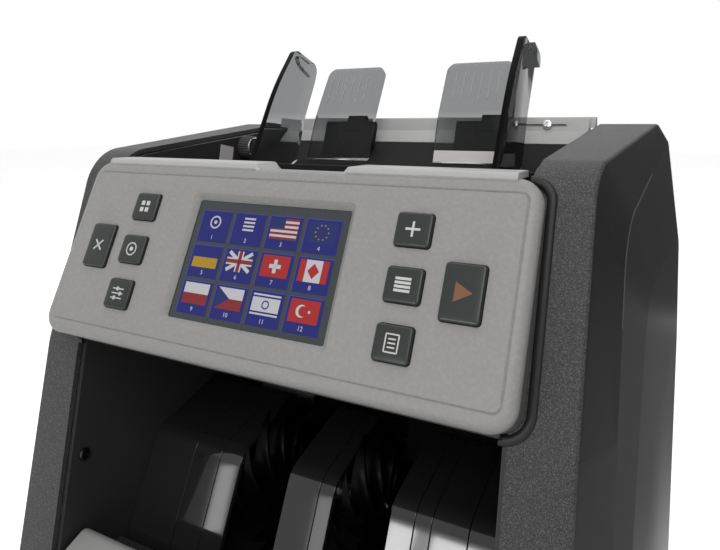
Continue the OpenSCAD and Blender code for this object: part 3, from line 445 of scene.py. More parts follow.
def grain_group():
    """Moulded grain: height of a spark-eroded surface, and a mask of painted glints that lighten its colour.
    """
    tree = bpy.data.node_groups.get("Moulded grain")
    if tree:
        return tree
    tree, gi, go = new_group("Moulded grain",
                             [("Vector", "NodeSocketVector", None), ("Scale", "NodeSocketFloat", 900.0),
                              ("Coarse", "NodeSocketFloat", 0.5)],
                             [("Height", "NodeSocketFloat"), ("Speck", "NodeSocketFloat")])
    v, s = gi.outputs["Vector"], gi.outputs["Scale"]
    fine = noise(tree, v, s, 3.0, 0.6)
    cell = tree.nodes.new("ShaderNodeTexVoronoi")
    cell.feature = "SMOOTH_F1"
    tree.links.new(v, cell.inputs["Vector"])
    tree.links.new(math_node(tree, "MULTIPLY", s, 0.7), cell.inputs["Scale"])
    cell.inputs["Smoothness"].default_value = 0.6
    coarse = math_node(tree, "MULTIPLY", cell.outputs["Distance"], gi.outputs["Coarse"])
    tree.links.new(math_node(tree, "ADD", fine, coarse), go.inputs["Height"])
    painted_glint = math_node(tree, "MULTIPLY", math_node(tree, "SUBTRACT", fine, GLINT_FROM), GLINT_GAIN, True)
    tree.links.new(painted_glint, go.inputs["Speck"])
    return tree


def tint_group():
    """Slow change of colour and gloss over a surface, with faint dust, and painted glints that lighten the
    colour.
    """
    tree = bpy.data.node_groups.get("Surface tint")
    if tree:
        return tree
    tree, gi, go = new_group("Surface tint",
                             [("Vector", "NodeSocketVector", None),
                              ("Color", "NodeSocketColor", (0.5, 0.5, 0.5, 1)),
                              ("Amount", "NodeSocketFloat", 0.1), ("Roughness", "NodeSocketFloat", 0.5),
                              ("Speck", "NodeSocketFloat", 0.0), ("Speck Amount", "NodeSocketFloat", 0.0)],
                             [("Color", "NodeSocketColor"), ("Roughness", "NodeSocketFloat")])
    v = gi.outputs["Vector"]
    cloud = math_node(tree, "MULTIPLY", noise(tree, v, CLOUD_SCALE, 4.0), CLOUD_SHARE)
    dust = math_node(tree, "MULTIPLY", noise(tree, v, DUST_SCALE, 2.0), 1 - CLOUD_SHARE)
    both = math_node(tree, "ADD", cloud, dust)
    swing = math_node(tree, "MULTIPLY", math_node(tree, "SUBTRACT", both, 0.5), gi.outputs["Amount"])
    painted_glint = math_node(tree, "MULTIPLY", gi.outputs["Speck"], gi.outputs["Speck Amount"])
    gain = math_node(tree, "ADD", math_node(tree, "ADD", math_node(tree, "MULTIPLY", swing, 2.0), 1.0), painted_glint)
    scale = tree.nodes.new("ShaderNodeVectorMath")
    scale.operation = "SCALE"
    tree.links.new(gi.outputs["Color"], scale.inputs[0])
    tree.links.new(gain, scale.inputs["Scale"])
    tree.links.new(scale.outputs[0], go.inputs["Color"])
    tree.links.new(math_node(tree, "ADD", gi.outputs["Roughness"], swing, True), go.inputs["Roughness"])
    return tree


def place_group(tree, group, vector, **values):
    """Places a group in a material, with its own values."""
    n = tree.nodes.new("ShaderNodeGroup")
    n.node_tree = group
    tree.links.new(vector, n.inputs["Vector"])
    for key, value in values.items():
        n.inputs[key.replace("_", " ")].default_value = value
    return n


def finish(name, colour, rough, grain=900.0, height=0.02, amount=0.08, painted_glint=0.0, coarse=0.5,
           specular=0.5, metal=0.0, coat=0.0, stretch=None):
    """Procedural finish: slow tint, grain bump and painted glints on a Principled shader."""
    mat = bpy.data.materials.get(name)
    if mat:
        return mat
    mat = bpy.data.materials.new(name)
    mat.use_nodes = True
    tree = mat.node_tree
    shader = tree.nodes["Principled BSDF"]
    shader.inputs["Metallic"].default_value = metal
    shader.inputs["Specular IOR Level"].default_value = specular
    shader.inputs["Coat Weight"].default_value = coat
    shader.inputs["Coat Roughness"].default_value = 0.08
    where = tree.nodes.new("ShaderNodeTexCoord").outputs["Object"]
    if stretch:
        turn = tree.nodes.new("ShaderNodeMapping")
        turn.inputs["Scale"].default_value = stretch
        tree.links.new(where, turn.inputs["Vector"])
        where = turn.outputs[0]
    g = place_group(tree, grain_group(), where, Scale=grain, Coarse=coarse)
    t = place_group(tree, tint_group(), where, Color=(*colour, 1), Amount=amount, Roughness=rough,
                    Speck_Amount=painted_glint)
    tree.links.new(g.outputs["Speck"], t.inputs["Speck"])
    tree.links.new(t.outputs["Color"], shader.inputs["Base Color"])
    tree.links.new(t.outputs["Roughness"], shader.inputs["Roughness"])
    bump = tree.nodes.new("ShaderNodeBump")
    bump.inputs["Strength"].default_value = 1.0
    bump.inputs["Distance"].default_value = height * MM
    tree.links.new(g.outputs["Height"], bump.inputs["Height"])
    tree.links.new(bump.outputs["Normal"], shader.inputs["Normal"])
    return mat


# Smoked plastic is lighter by this share below the first height, and fades to its own tint up to the second
FOOT_LIGHT, FOOT_TOP, SMOKE_FROM = 1.6, 252.0, 262.0


def smoked(name, colour):
    """Smoked clear plastic with faint scuffs and a lighter foot."""
    mat = bpy.data.materials.get(name)
    if mat:
        return mat
    mat = finish(name, colour, 0.06, grain=240.0, height=0.004, amount=0.03, specular=0.5)
    tree = mat.node_tree
    shader = tree.nodes["Principled BSDF"]
    shader.inputs["Transmission Weight"].default_value = 0.97
    shader.inputs["IOR"].default_value = 1.12
    height = tree.nodes.new("ShaderNodeSeparateXYZ")
    tree.links.new(tree.nodes.new("ShaderNodeTexCoord").outputs["Object"], height.inputs[0])
    fade = tree.nodes.new("ShaderNodeMapRange")
    fade.inputs["From Min"].default_value = FOOT_TOP * MM
    fade.inputs["From Max"].default_value = SMOKE_FROM * MM
    tree.links.new(height.outputs["Z"], fade.inputs["Value"])
    mix = tree.nodes.new("ShaderNodeMix")
    mix.data_type = "RGBA"
    mix.inputs["A"].default_value = (*[min(1, c * FOOT_LIGHT) for c in colour], 1)
    mix.inputs["B"].default_value = (*colour, 1)
    tree.links.new(fade.outputs[0], mix.inputs["Factor"])
    tint = next(n for n in tree.nodes if n.type == "GROUP" and n.node_tree == tint_group())
    tree.links.new(mix.outputs["Result"], tint.inputs["Color"])
    return mat


def lit(name, colour, strength=0.5):
    """Lit part of the display, with a faint change of tint over its glow."""
    mat = bpy.data.materials.get(name)
    if mat:
        return mat
    mat = bpy.data.materials.new(name)
    mat.use_nodes = True
    tree = mat.node_tree
    shader = tree.nodes["Principled BSDF"]
    shader.inputs["Roughness"].default_value = 0.3
    shader.inputs["Specular IOR Level"].default_value = 0.2
    shader.inputs["Base Color"].default_value = (*[c * 0.3 for c in colour], 1)
    shader.inputs["Emission Strength"].default_value = strength
    where = tree.nodes.new("ShaderNodeTexCoord").outputs["Object"]
    t = place_group(tree, tint_group(), where, Color=(*colour, 1), Amount=0.12, Roughness=0.3)
    tree.links.new(t.outputs["Color"], shader.inputs["Emission Color"])
    return mat


def shades():
    """All finishes, made once: colour, roughness, grain, its height, tint, painted glints and coarseness."""
    c = colours()
    return {
        "silver": finish("Silver paint", c.silver, 0.45, 650.0, 0.17, 0.05, 0.08, 0.9, specular=0.35),
        # The shell's strong painted glints stand in for light sparkling on its grain
        "shell": finish("Spark textured shell", c.shell, 0.5, 2500.0, 0.13, 0.08, 3.2, 0.4, specular=0.25),
        "side": finish("Smooth flank", c.side, 0.34, 1500.0, 0.003, 0.06, specular=0.3),
        "bead": finish("Post bead", [k * 0.6 for k in c.shell], 0.4, 1300.0, 0.02, 0.06, specular=0.25),
        "feed": finish("Feed plate", [k * 0.45 for k in c.liner], 0.6, 1100.0, 0.015, 0.08, specular=0.05),
        "oxide": finish("Black screw", (0.05, 0.05, 0.05), 0.3, 400.0, 0.003, 0.1, metal=1.0),
        "chute": finish("Polished chute", c.black, 0.05, 300.0, 0.0, 0.02, specular=0.5),
        "rib": finish("Frosted rib", (0.42, 0.42, 0.42), 0.5, 900.0, 0.004, 0.06),
        # The housing's grey sits above its own tone to stay light in the shade under the panel: partly its
        # own colour, partly painted light; the rear panel and door take it too
        "rim": finish("Housing plastic", c.rim, 0.45, 1200.0, 0.012, 0.06, 0.06, specular=0.35),
        "liner": finish("Black liner", c.liner, 0.5, 1100.0, 0.015, 0.08, 0.05, specular=0.3),
        "black": finish("Glossy black", c.black, 0.16, 300.0, 0.002, 0.05, specular=0.5, coat=0.3),
        # Glossy black darkened to 8 %: on the stacker wheels it is painted shade of the deep pocket; the
        # guides' front edges and stems take it too
        "wheel": finish("Wheel black", [k * 0.08 for k in c.black], 0.3, 500.0, 0.004, 0.06, specular=0.05),
        "key": finish("Key plastic", c.key, 0.25, 500.0, 0.003, 0.05, specular=0.4),
        "legend": finish("Printed sign", c.legend, 0.45, 900.0, 0.002, 0.06),
        "start": finish("Start sign", c.start_legend, 0.45, 900.0, 0.002, 0.06),
        "grey": finish("Light grey", c.light_grey, 0.42, 900.0, 0.012, 0.05, 0.04, specular=0.35),
        # Light grey made 1.3 times lighter for the ledges: painted light on their top-facing faces
        "pale": finish("Pale grey", [k * 1.3 for k in c.light_grey], 0.42, 900.0, 0.012, 0.05, 0.04,
                       specular=0.35),
        # Flank colour lightened to 0.1: a painted highlight along the flank's first crease
        "crease": finish("Flank crease", (0.1, 0.1, 0.1), 0.34, 1500.0, 0.003, 0.06, specular=0.3),
        "smoke": smoked("Smoked clear", c.smoke),
        # A quarter as light as the smoke, for the right guide only: painted shade
        "smoke_deep": smoked("Smoked clear, deep", [k * 0.25 for k in c.smoke]),
        "screen": finish("Screen glass", c.screen, 0.08, 300.0, 0.0005, 0.04, specular=0.5),
        "base": finish("Base plastic", c.base, 0.5, 900.0, 0.05, 0.08, 0.25, specular=0.35),
        "rubber": finish("Black rubber", (0.012, 0.012, 0.012), 0.75, 700.0, 0.03, 0.12, specular=0.25),
        "tyre": finish("Roller rubber", (0.16, 0.1, 0.065), 0.7, 800.0, 0.03, 0.15, specular=0.25),
        "steel": finish("Ground steel", (0.62, 0.62, 0.63), 0.3, 500.0, 0.004, 0.1, metal=1.0,
                        stretch=(0.06, 1, 1)),
        "zinc": finish("Zinc plate", (0.55, 0.56, 0.58), 0.38, 220.0, 0.004, 0.2, metal=1.0),
        "bright": finish("Bright steel", (0.8, 0.8, 0.8), 0.18, 400.0, 0.002, 0.06, metal=1.0),
        "brass": finish("Turned brass", (0.6, 0.44, 0.17), 0.3, 600.0, 0.003, 0.1, metal=1.0),
        "board": finish("Board green", (0.02, 0.12, 0.06), 0.35, 400.0, 0.01, 0.2),
        "alu": finish("Folded aluminium", (0.6, 0.6, 0.61), 0.36, 300.0, 0.004, 0.1, metal=1.0,
                      stretch=(1, 0.08, 1)),
        "ivory": finish("Ivory plastic", (0.68, 0.64, 0.54), 0.42, 700.0, 0.006, 0.06),
        "red": finish("Rocker red", (0.35, 0.025, 0.015), 0.2, 400.0, 0.002, 0.05, coat=0.3),
        "paper": finish("Pale paper", (0.72, 0.68, 0.68), 0.35, 900.0, 0.003, 0.05),
    }


# Side covers

# Section of a cover from its inner edge, as (way out along X, inset of the ring), and its bends' rounding
COVER_SECTION = [(-20.0, 0.0), (0.0, 0.0), (8.5, 13.0), (12.0, 48.0), (13.5, 84.0)]
COVER_BENDS, SECTION_STEPS = [0, 2.4, 1.4, 3, 0], 6
# Shifts of the rings by their inset: drop of the brow, lift of the rear corner, set-back of the chin,
# set-back of the foot and flare of the rear
COVER_SHIFTS = [(0.0, (0, 0, 0, 0, 10)), (13.0, (9, 8, 16, 24, 7)), (48.0, (6, 2, 6, 6, 10)),
                (84.0, (0, 0, 0, 0, 10))]
CORNER_RADII, CORNER_STEPS = [0, 12, 24, 40, 0], 14
POST_FOOT_Y, FRONT_FLARE, COVER_HALF, FLARE_END_Y = -89.0, 2.5, 123.0, 101.0
REAR_TAPER, TOP_TAPER = 0.25, 0.075
COVER_WALL, COVER_SHARP, TEXTURED_RINGS = 2.4, 24, 5
# Painted highlight along the flank's first crease: the insets that bound it, and where it starts and ends on
# its two runs
HIGHLIGHT_FROM, HIGHLIGHT_TO = 12.5, 13.6
HIGHLIGHT_BACK, HIGHLIGHT_FRONT = 0.55, 0.3
# The inner edge opens out above a height and behind a depth
SEAT_GAP, TOP_OPENING = 0.05, 3.4
OPEN_FROM_Z, OPEN_RISE, OPEN_FROM_Y, OPEN_RUN = 215.0, 25.0, -18.0, 136.0


def cover_shift(d):
    """Shifts of the ring at inset d, between those of the table."""
    for (d0, a), (d1, b) in zip(COVER_SHIFTS[:-1], COVER_SHIFTS[1:]):
        if d <= d1:
            return between(a, b, max(0.0, (d - d0) / (d1 - d0)))
    return COVER_SHIFTS[-1][1]


def post_brow():
    """Point (y, z) where the posts' front meets their top."""
    return on_face(sizes().panel_h / 2 + POST_OVER, -POST_TOP_BACK)


def cover_ring(d):
    """Side view of a cover at inset d, from the rear foot over the brow to the front foot."""
    drop, lift, chin_back, foot_back, _ = cover_shift(d)
    brow, chin = post_brow(), on_face(-sizes().panel_h / 2 - POST_UNDER, -POST_SET_BACK)
    corners = [(REAR_Y, FLOOR_Z), (REAR_Y, BODY_H), brow, chin, (POST_FOOT_Y, FLOOR_Z)]
    q, rear = inset(corners, d), REAR_Y - REAR_TAPER * d
    down = (Vector(chin) - Vector(brow)).normalized() * drop
    foot = q[3][0] + (q[4][0] - q[3][0]) * (q[3][1] - FLOOR_Z) / (q[3][1] - q[4][1])
    ring = [(rear, FLOOR_Z), (rear, q[1][1] - TOP_TAPER * d + lift), (q[2][0] + down.x, q[2][1] + down.y),
            (q[3][0] + chin_back, q[3][1]), (foot + foot_back, FLOOR_Z)]
    return rounded(ring, CORNER_RADII, CORNER_STEPS)


def spread(p, out, d):
    """Half width of a cover at a point of its side view."""
    brow_y = post_brow()[0]
    low = 1 - (p[1] - FLOOR_Z) / (PANEL_Z - FLOOR_Z)
    rear = max(p[0] - brow_y, 0) / (FLARE_END_Y - brow_y)
    return COVER_HALF + FRONT_FLARE * low + out + cover_shift(d)[4] * rear


class COUNTER_OT_covers(bpy.types.Operator):
    """Lofts both side covers: textured front and top band, smooth flank with two creases, the first with a
    painted highlight
    """
    bl_idname = "counter.covers"
    bl_label = "Side covers"

    def execute(self, context):
        mats = shades()
        profile = bent(COVER_SECTION, COVER_BENDS, SECTION_STEPS)
        rings = [[(self.inner_edge(y, z), y, z) for y, z in cover_ring(0)]]
        for out, d in profile[1:]:
            rings.append([(spread(p, out, d), p[0], p[1]) for p in cover_ring(d)])
        for name, side in (("cover_left", -1), ("cover_right", 1)):
            shape = Shape()
            for k in range(len(rings) - 1):
                pair = [[(side * x, y, z) for x, y, z in r] for r in rings[k:k + 2]]
                # Rings at the first crease take the painted highlight
                if profile[k][1] > HIGHLIGHT_FROM and profile[k + 1][1] < HIGHLIGHT_TO:
                    self.crease(shape, pair, CORNER_STEPS + 1)
                else:
                    shape.loft(pair, 0 if k < TEXTURED_RINGS else 1, (False, False), closed=False)
            last = [(side * x, y, z) for x, y, z in rings[-1]]
            shape.add(last, [list(range(len(last)))], 1)
            obj = make("shell_" + name[6:], shape, [mats["shell"], mats["side"], mats["crease"]], COVER_SHARP)
            m = obj.modifiers.new("Wall", "SOLIDIFY")
            m.thickness, m.offset = COVER_WALL * MM, -1
            settle(obj, COVER_SHARP)
            dress(obj, "machine", "dark_shell", name)
        return {"FINISHED"}

    def crease(self, shape, pair, run):
        """The first crease round the brow takes a painted highlight, between points on its two runs."""
        down = 2 * run
        back = [[between(r[run], r[run + 1], HIGHLIGHT_BACK)] for r in pair]
        front = [[between(r[down], r[down + 1], HIGHLIGHT_FRONT)] for r in pair]
        for mark, rows in ((1, [r[:run + 1] + a for r, a in zip(pair, back)]),
                           (2, [a + r[run + 1:down + 1] + b for r, a, b in zip(pair, back, front)]),
                           (1, [b + r[down + 1:] for r, b in zip(pair, front)])):
            shape.loft(rows, mark, (False, False), closed=False)

    def inner_edge(self, y, z):
        """The covers' inner edge opens out a little along the top, towards the rear."""
        rise = max(0.0, min(1.0, (z - OPEN_FROM_Z) / OPEN_RISE))
        return FRAME_X + SEAT_GAP + TOP_OPENING * rise * max(0.0, (y - OPEN_FROM_Y) / OPEN_RUN)


# Panel, its housing and rim

KEYS = [("mode", -65.0, 19.8, "small"), ("coin", -65.0, 0.0, "small"), ("setup", -65.0, -19.8, "small"),
        ("clear", -86.1, 0.0, "tall"), ("add", 65.0, 19.8, "small"), ("batch", 65.0, 0.0, "small"),
        ("report", 65.0, -19.8, "small"), ("start", 86.1, 0.0, "tall")]
KEY_SIZES = {"small": (13.8, 12.5), "tall": (14.3, 19.8)}
KEY_ROW_DROP, KEY_HOLE_R = 0.5, 1.6
PANEL_FACE, PANEL_WALL, HOLLOW_R = 3.0, 2.2, 6.8
WINDOW_LIP, WINDOW_R, WINDOW_RIM_R = 0.4, 1.0, 2.2
# Section of the groove's cutter, as (growth, height)
GROOVE_SECTION, GROOVE_R = ((-0.7, 0.2), (0.0, -0.55), (0.7, 0.2), (0.0, 0.6)), 3.0
LEDGE_X, LEDGE_DEEP, NOTCH_AT, NOTCH_X = 98.5, 13.0, 10.5, 18.0
# Flank of the thumb notch, as (way out from its floor, dip)
NOTCH_FLANK = [(5.5, 0.0), (4.0, 0.15), (1.2, 3.0), (0.0, 3.2)]
HOUSING_INSET, HOUSING_WALL, CROSS_WALL_AT, CROSS_WALL = 0.5, 2.0, -17.0, 2.0


def soft_block(w, h, r, low, high, edge, steps=6):
    """Rings (outline, height) of a block with a rounded top edge."""
    rings = [(oblong(w, h, r), low)]
    for i in range(steps + 1):
        a = math.pi / 2 * i / steps
        d = edge * (1 - math.cos(a))
        rings.append((oblong(w - 2 * d, h - 2 * d, r - d), high - edge + edge * math.sin(a)))
    return rings


def panel_loft(shape, rings, x=0.0, v=0.0):
    """Lofts rings of (outline, height) at a place on the panel."""
    shape.loft([[panel_point(px + x, pv + v, w) for px, pv in outline] for outline, w in rings])


def cutter(rings, x=0.0, v=0.0):
    """Object that cuts rings out of the panel."""
    shape = Shape()
    panel_loft(shape, rings, x, v)
    return make("cutter", shape, [])


class COUNTER_OT_panel(bpy.types.Operator):
    """Silver control panel with its groove, window and key holes, and the ledge with a thumb notch"""
    bl_idname = "counter.panel"
    bl_label = "Control panel"

    def execute(self, context):
        s, mats = sizes(), shades()
        shape = Shape()
        panel_loft(shape, soft_block(s.panel_w, s.panel_h, s.panel_r, -s.panel_edge, 0, s.edge_round))
        face = make("panel_face", shape, [mats["silver"]])
        hollow = oblong(s.panel_w - 2 * PANEL_WALL, s.panel_h - 2 * PANEL_WALL, HOLLOW_R)
        cutters = [cutter([(hollow, -s.panel_edge - 1), (hollow, -PANEL_FACE)])]
        wider = 2 * s.window_chamfer
        window = oblong(s.window_w, s.window_h, WINDOW_R)
        rim = oblong(s.window_w + wider, s.window_h + wider, WINDOW_RIM_R)
        cutters.append(cutter([(window, -PANEL_FACE - 0.5), (window, -PANEL_FACE + WINDOW_LIP),
                               (rim, 0.02), (rim, 1.0)]))
        for _, x, v, kind in KEYS:
            w, h = KEY_SIZES[kind]
            hole = oblong(w + 2 * s.key_gap, h + 2 * s.key_gap, KEY_HOLE_R)
            cutters.append(cutter([(hole, -PANEL_FACE - 1), (hole, 1.0)], x, v - KEY_ROW_DROP))
        cutters.append(self.groove(s))
        cut(face, cutters)
        soften(face, 0.3, 38)
        even_normals(face)
        dress(face, "machine", "silver_panel", "bezel")
        dress(self.ledge(s, mats), "machine", "silver_panel")
        return {"FINISHED"}

    def groove(self, s):
        """Ring with a V section that cuts the groove line."""
        rings = []
        for grow, w in GROOVE_SECTION:
            outline = oblong(s.groove_w + 2 * grow, s.groove_h + 2 * grow, GROOVE_R + grow)
            rings.append([panel_point(x, v, w) for x, v in outline])
        shape = Shape()
        shape.hoop(rings)
        return make("cutter", shape, [])

    def ledge(self, s, mats):
        """Top ledge behind the panel's upper edge, dipped by the thumb notch."""
        front = on_face(s.panel_h / 2, -2)[0]
        top = on_face(s.panel_h / 2, 0)[1] + 1
        back = front + LEDGE_DEEP
        stops = [(-LEDGE_X, 0)] + [(NOTCH_AT - NOTCH_X - out, dip) for out, dip in NOTCH_FLANK]
        stops += [(NOTCH_AT + NOTCH_X + out, dip) for out, dip in NOTCH_FLANK[::-1]] + [(LEDGE_X, 0)]
        rings = []
        for x, dip in stops:
            high = top - dip
            outline = rounded([(front, top - 6.8), (front + 3, high - 2.4), (back, high - 2.4), (back, high),
                               (front - 1.5, high), (front - 2.6, high - 2.0)], [0, 0, 0, 0.9, 1.6, 0.5], 5)
            rings.append([(x, y, z) for y, z in outline])
        shape = Shape()
        shape.loft(rings)
        # The ledge takes light grey painted lighter, as painted light on its top
        return make("panel_ledge", shape, [mats["pale"]], 30)


class COUNTER_OT_housing(bpy.types.Operator):
    """Dark housing behind the panel and the moulded rim that frames it on the posts"""
    bl_idname = "counter.housing"
    bl_label = "Panel housing"

    def execute(self, context):
        s, mats = sizes(), shades()
        outer, inner = [oblong(s.panel_w - 2 * d, s.panel_h - 2 * d, s.panel_r - d, 12)
                        for d in (HOUSING_INSET, HOUSING_INSET + HOUSING_WALL)]
        rows = []
        for outline, front in ((outer, True), (inner, False)):
            near = [panel_point(x, v, -s.panel_edge - 0.15) for x, v in outline]
            far = [panel_point(x, v, min(post_depth(v) + 0.3, -s.panel_edge - 0.6)) for x, v in outline]
            rows += [near, far] if front else [far, near]
        shape = Shape()
        shape.hoop(rows)
        low, high = -s.panel_h / 2 + 2, s.panel_h / 2 - 5
        wall = [(-CROSS_X, low), (CROSS_X, low), (CROSS_X, high), (-CROSS_X, high)]
        shape.slab(wall, CROSS_WALL_AT, CROSS_WALL_AT + CROSS_WALL)
        # The housing's colour is partly painted light against the panel's shade
        housing = make("panel_housing_shell", shape, [mats["rim"]], 30)
        dress(housing, "machine", "dark_shell", "panel_housing")
        dress(self.rim(s, mats), "machine", "dark_shell")
        return {"FINISHED"}

    def rim(self, s, mats):
        """Half-round bead on both posts, along the housing and round its lower corner."""
        out, high, low = s.panel_w / 2 + 1.6, s.panel_h / 2 + 1.0, -s.panel_h / 2 - 1.4
        path = bent([(s.panel_w / 2 - 6, high + 0.2), (out, high), (out, low), (LINER_X + 1.2, low)],
                    [0, 7.0, 9.5, 0], 12)
        section = [around((0, 0), 1, math.pi * i / 8) for i in range(9)] + [(-1, -0.9), (1, -0.9)]
        shape = Shape()
        for side in (-1, 1):
            rings = []
            for i, p in enumerate(path):
                across = left_of(path[max(i - 1, 0)], path[min(i + 1, len(path) - 1)]) * s.rim_w / 2
                ring = []
                for over, up in section:
                    x, v = p[0] + across.x * over, p[1] + across.y * over
                    ring.append(panel_point(side * x, v, post_depth(v) + up * s.rim_h))
                rings.append(ring)
            shape.loft(rings)
        return make("post_rim", shape, [mats["bead"]], 40)


# Keys and their signs

def strip(a, b, t):
    """Straight bar of thickness t between two points."""
    n = left_of(a, b) * t / 2
    a, b = Vector(a), Vector(b)
    return [tuple(a + n), tuple(a - n), tuple(b - n), tuple(b + n)]


def disc(x, y, r, n=24):
    """Round outline."""
    return [around((x, y), r, 2 * math.pi * i / n) for i in range(n)]


def ring_parts(x, y, r, t, n=24):
    """Ring as short bars."""
    points = disc(x, y, r, n)
    return [strip(points[i], points[(i + 1) % n], t) for i in range(n)]


def key_sign(name):
    """Generic sign of each key, as closed outlines."""
    if name == "mode":
        return [box(x, y, 2.0, 2.0) for x in (-1.5, 1.5) for y in (-1.5, 1.5)]
    if name == "coin":
        return ring_parts(0, 0, 2.7, 0.6) + [disc(0, 0, 1.0)]
    if name == "setup":
        bars = [strip((-3.2, y), (3.2, y), 0.5) for y in (-2.0, 0.0, 2.0)]
        return bars + [disc(x, y, 0.9) for x, y in ((-1.2, -2.0), (1.6, 0.0), (-0.4, 2.0))]
    if name == "clear":
        return [strip((-2.3, -2.3), (2.3, 2.3), 0.75), strip((-2.3, 2.3), (-0.4, 0.4), 0.75),
                strip((0.4, -0.4), (2.3, -2.3), 0.75)]
    if name == "add":
        return [strip((-2.8, 0), (2.8, 0), 0.85), strip((0, 0.45), (0, 2.8), 0.85),
                strip((0, -2.8), (0, -0.45), 0.85)]
    if name == "batch":
        return [box(0, y, 6.0, 0.95) for y in (-2.1, -0.7, 0.7, 2.1)]
    if name == "report":
        frame_bars = [strip(a, b, 0.5) for a, b in (((-2.4, -3), (2.4, -3)), ((-2.4, 3), (2.4, 3)),
                                                     ((-2.4, -3), (-2.4, 3)), ((2.4, -3), (2.4, 3)))]
        return frame_bars + [strip((-1.4, y), (1.4, y), 0.5) for y in (-1.4, 0.0, 1.4)]
    return [[(-2.6, -3.4), (3.6, 0.0), (-2.6, 3.4)]]


KEY_CORNER, KEY_SEAT, KEY_FLANGE, FLANGE_T, SIGN_T = 1.5, 1.3, 1.2, 0.95, 0.15


class COUNTER_OT_keys(bpy.types.Operator):
    """Eight push keys with rounded edges and a generic sign on each"""
    bl_idname = "counter.keys"
    bl_label = "Keys"

    def execute(self, context):
        s, mats = sizes(), shades()
        base = -PANEL_FACE - KEY_SEAT
        for name, x, row, kind in KEYS:
            (w, h), v = KEY_SIZES[kind], row - KEY_ROW_DROP
            flange = oblong(w + 2 * KEY_FLANGE, h + 2 * KEY_FLANGE, KEY_CORNER)
            shape = Shape()
            panel_loft(shape, [(flange, base), (flange, base + FLANGE_T)], x, v)
            rings = soft_block(w, h, KEY_CORNER, base + FLANGE_T - 0.05, s.key_proud, s.key_round)
            rings.append((oblong(w - 5, h - 5, 0.6), s.key_proud + 0.12))
            panel_loft(shape, rings, x, v)
            node = "key_" + name
            key = make("cap_" + name, shape, [mats["key"]], 30, merge=False)
            dress(key, node, "key_dark", node)
            sign, low = Shape(), s.key_proud + 0.02
            for outline in key_sign(name):
                sign.slab([(px + x, pv + v) for px, pv in outline], low, low + SIGN_T)
            colour = mats["start"] if name == "start" else mats["legend"]
            dress(make("sign_" + name, sign, [colour], 30), node, "key_dark")
        return {"FINISHED"}


# Display

# Glows of the display after the tile's own, and their places in the list of materials
GLOWS = (("white", (0.62, 0.62, 0.66)), ("red", (0.45, 0.03, 0.03)), ("deep red", (0.27, 0.03, 0.035)),
         ("yellow", (0.5, 0.29, 0.02)), ("navy", (0.02, 0.035, 0.16)), ("pale blue", (0.08, 0.1, 0.42)))
TILE, WHITE, RED, DEEP_RED, YELLOW, NAVY, PALE_BLUE = range(7)
TILES, TILE_COLUMNS, TILE_W, TILE_H = 12, 4, 15.9, 13.9
TILE_FIRST, TILE_PITCH = (-26.6, 14.4), (17.6, 15.2)
PICTURE_W, PICTURE_H, PICTURE_UP, NUMBER_DROP = 12.9, 8.6, 1.6, 5.6
LAYER_LOW, LAYER_T, LAYER_STEP = 0.015, 0.02, 0.018


def tile_at(k):
    """Middle of a tile on the panel, counted by rows from the upper left."""
    row, column = divmod(k, TILE_COLUMNS)
    return (TILE_FIRST[0] + TILE_PITCH[0] * column, TILE_FIRST[1] - TILE_PITCH[1] * row)


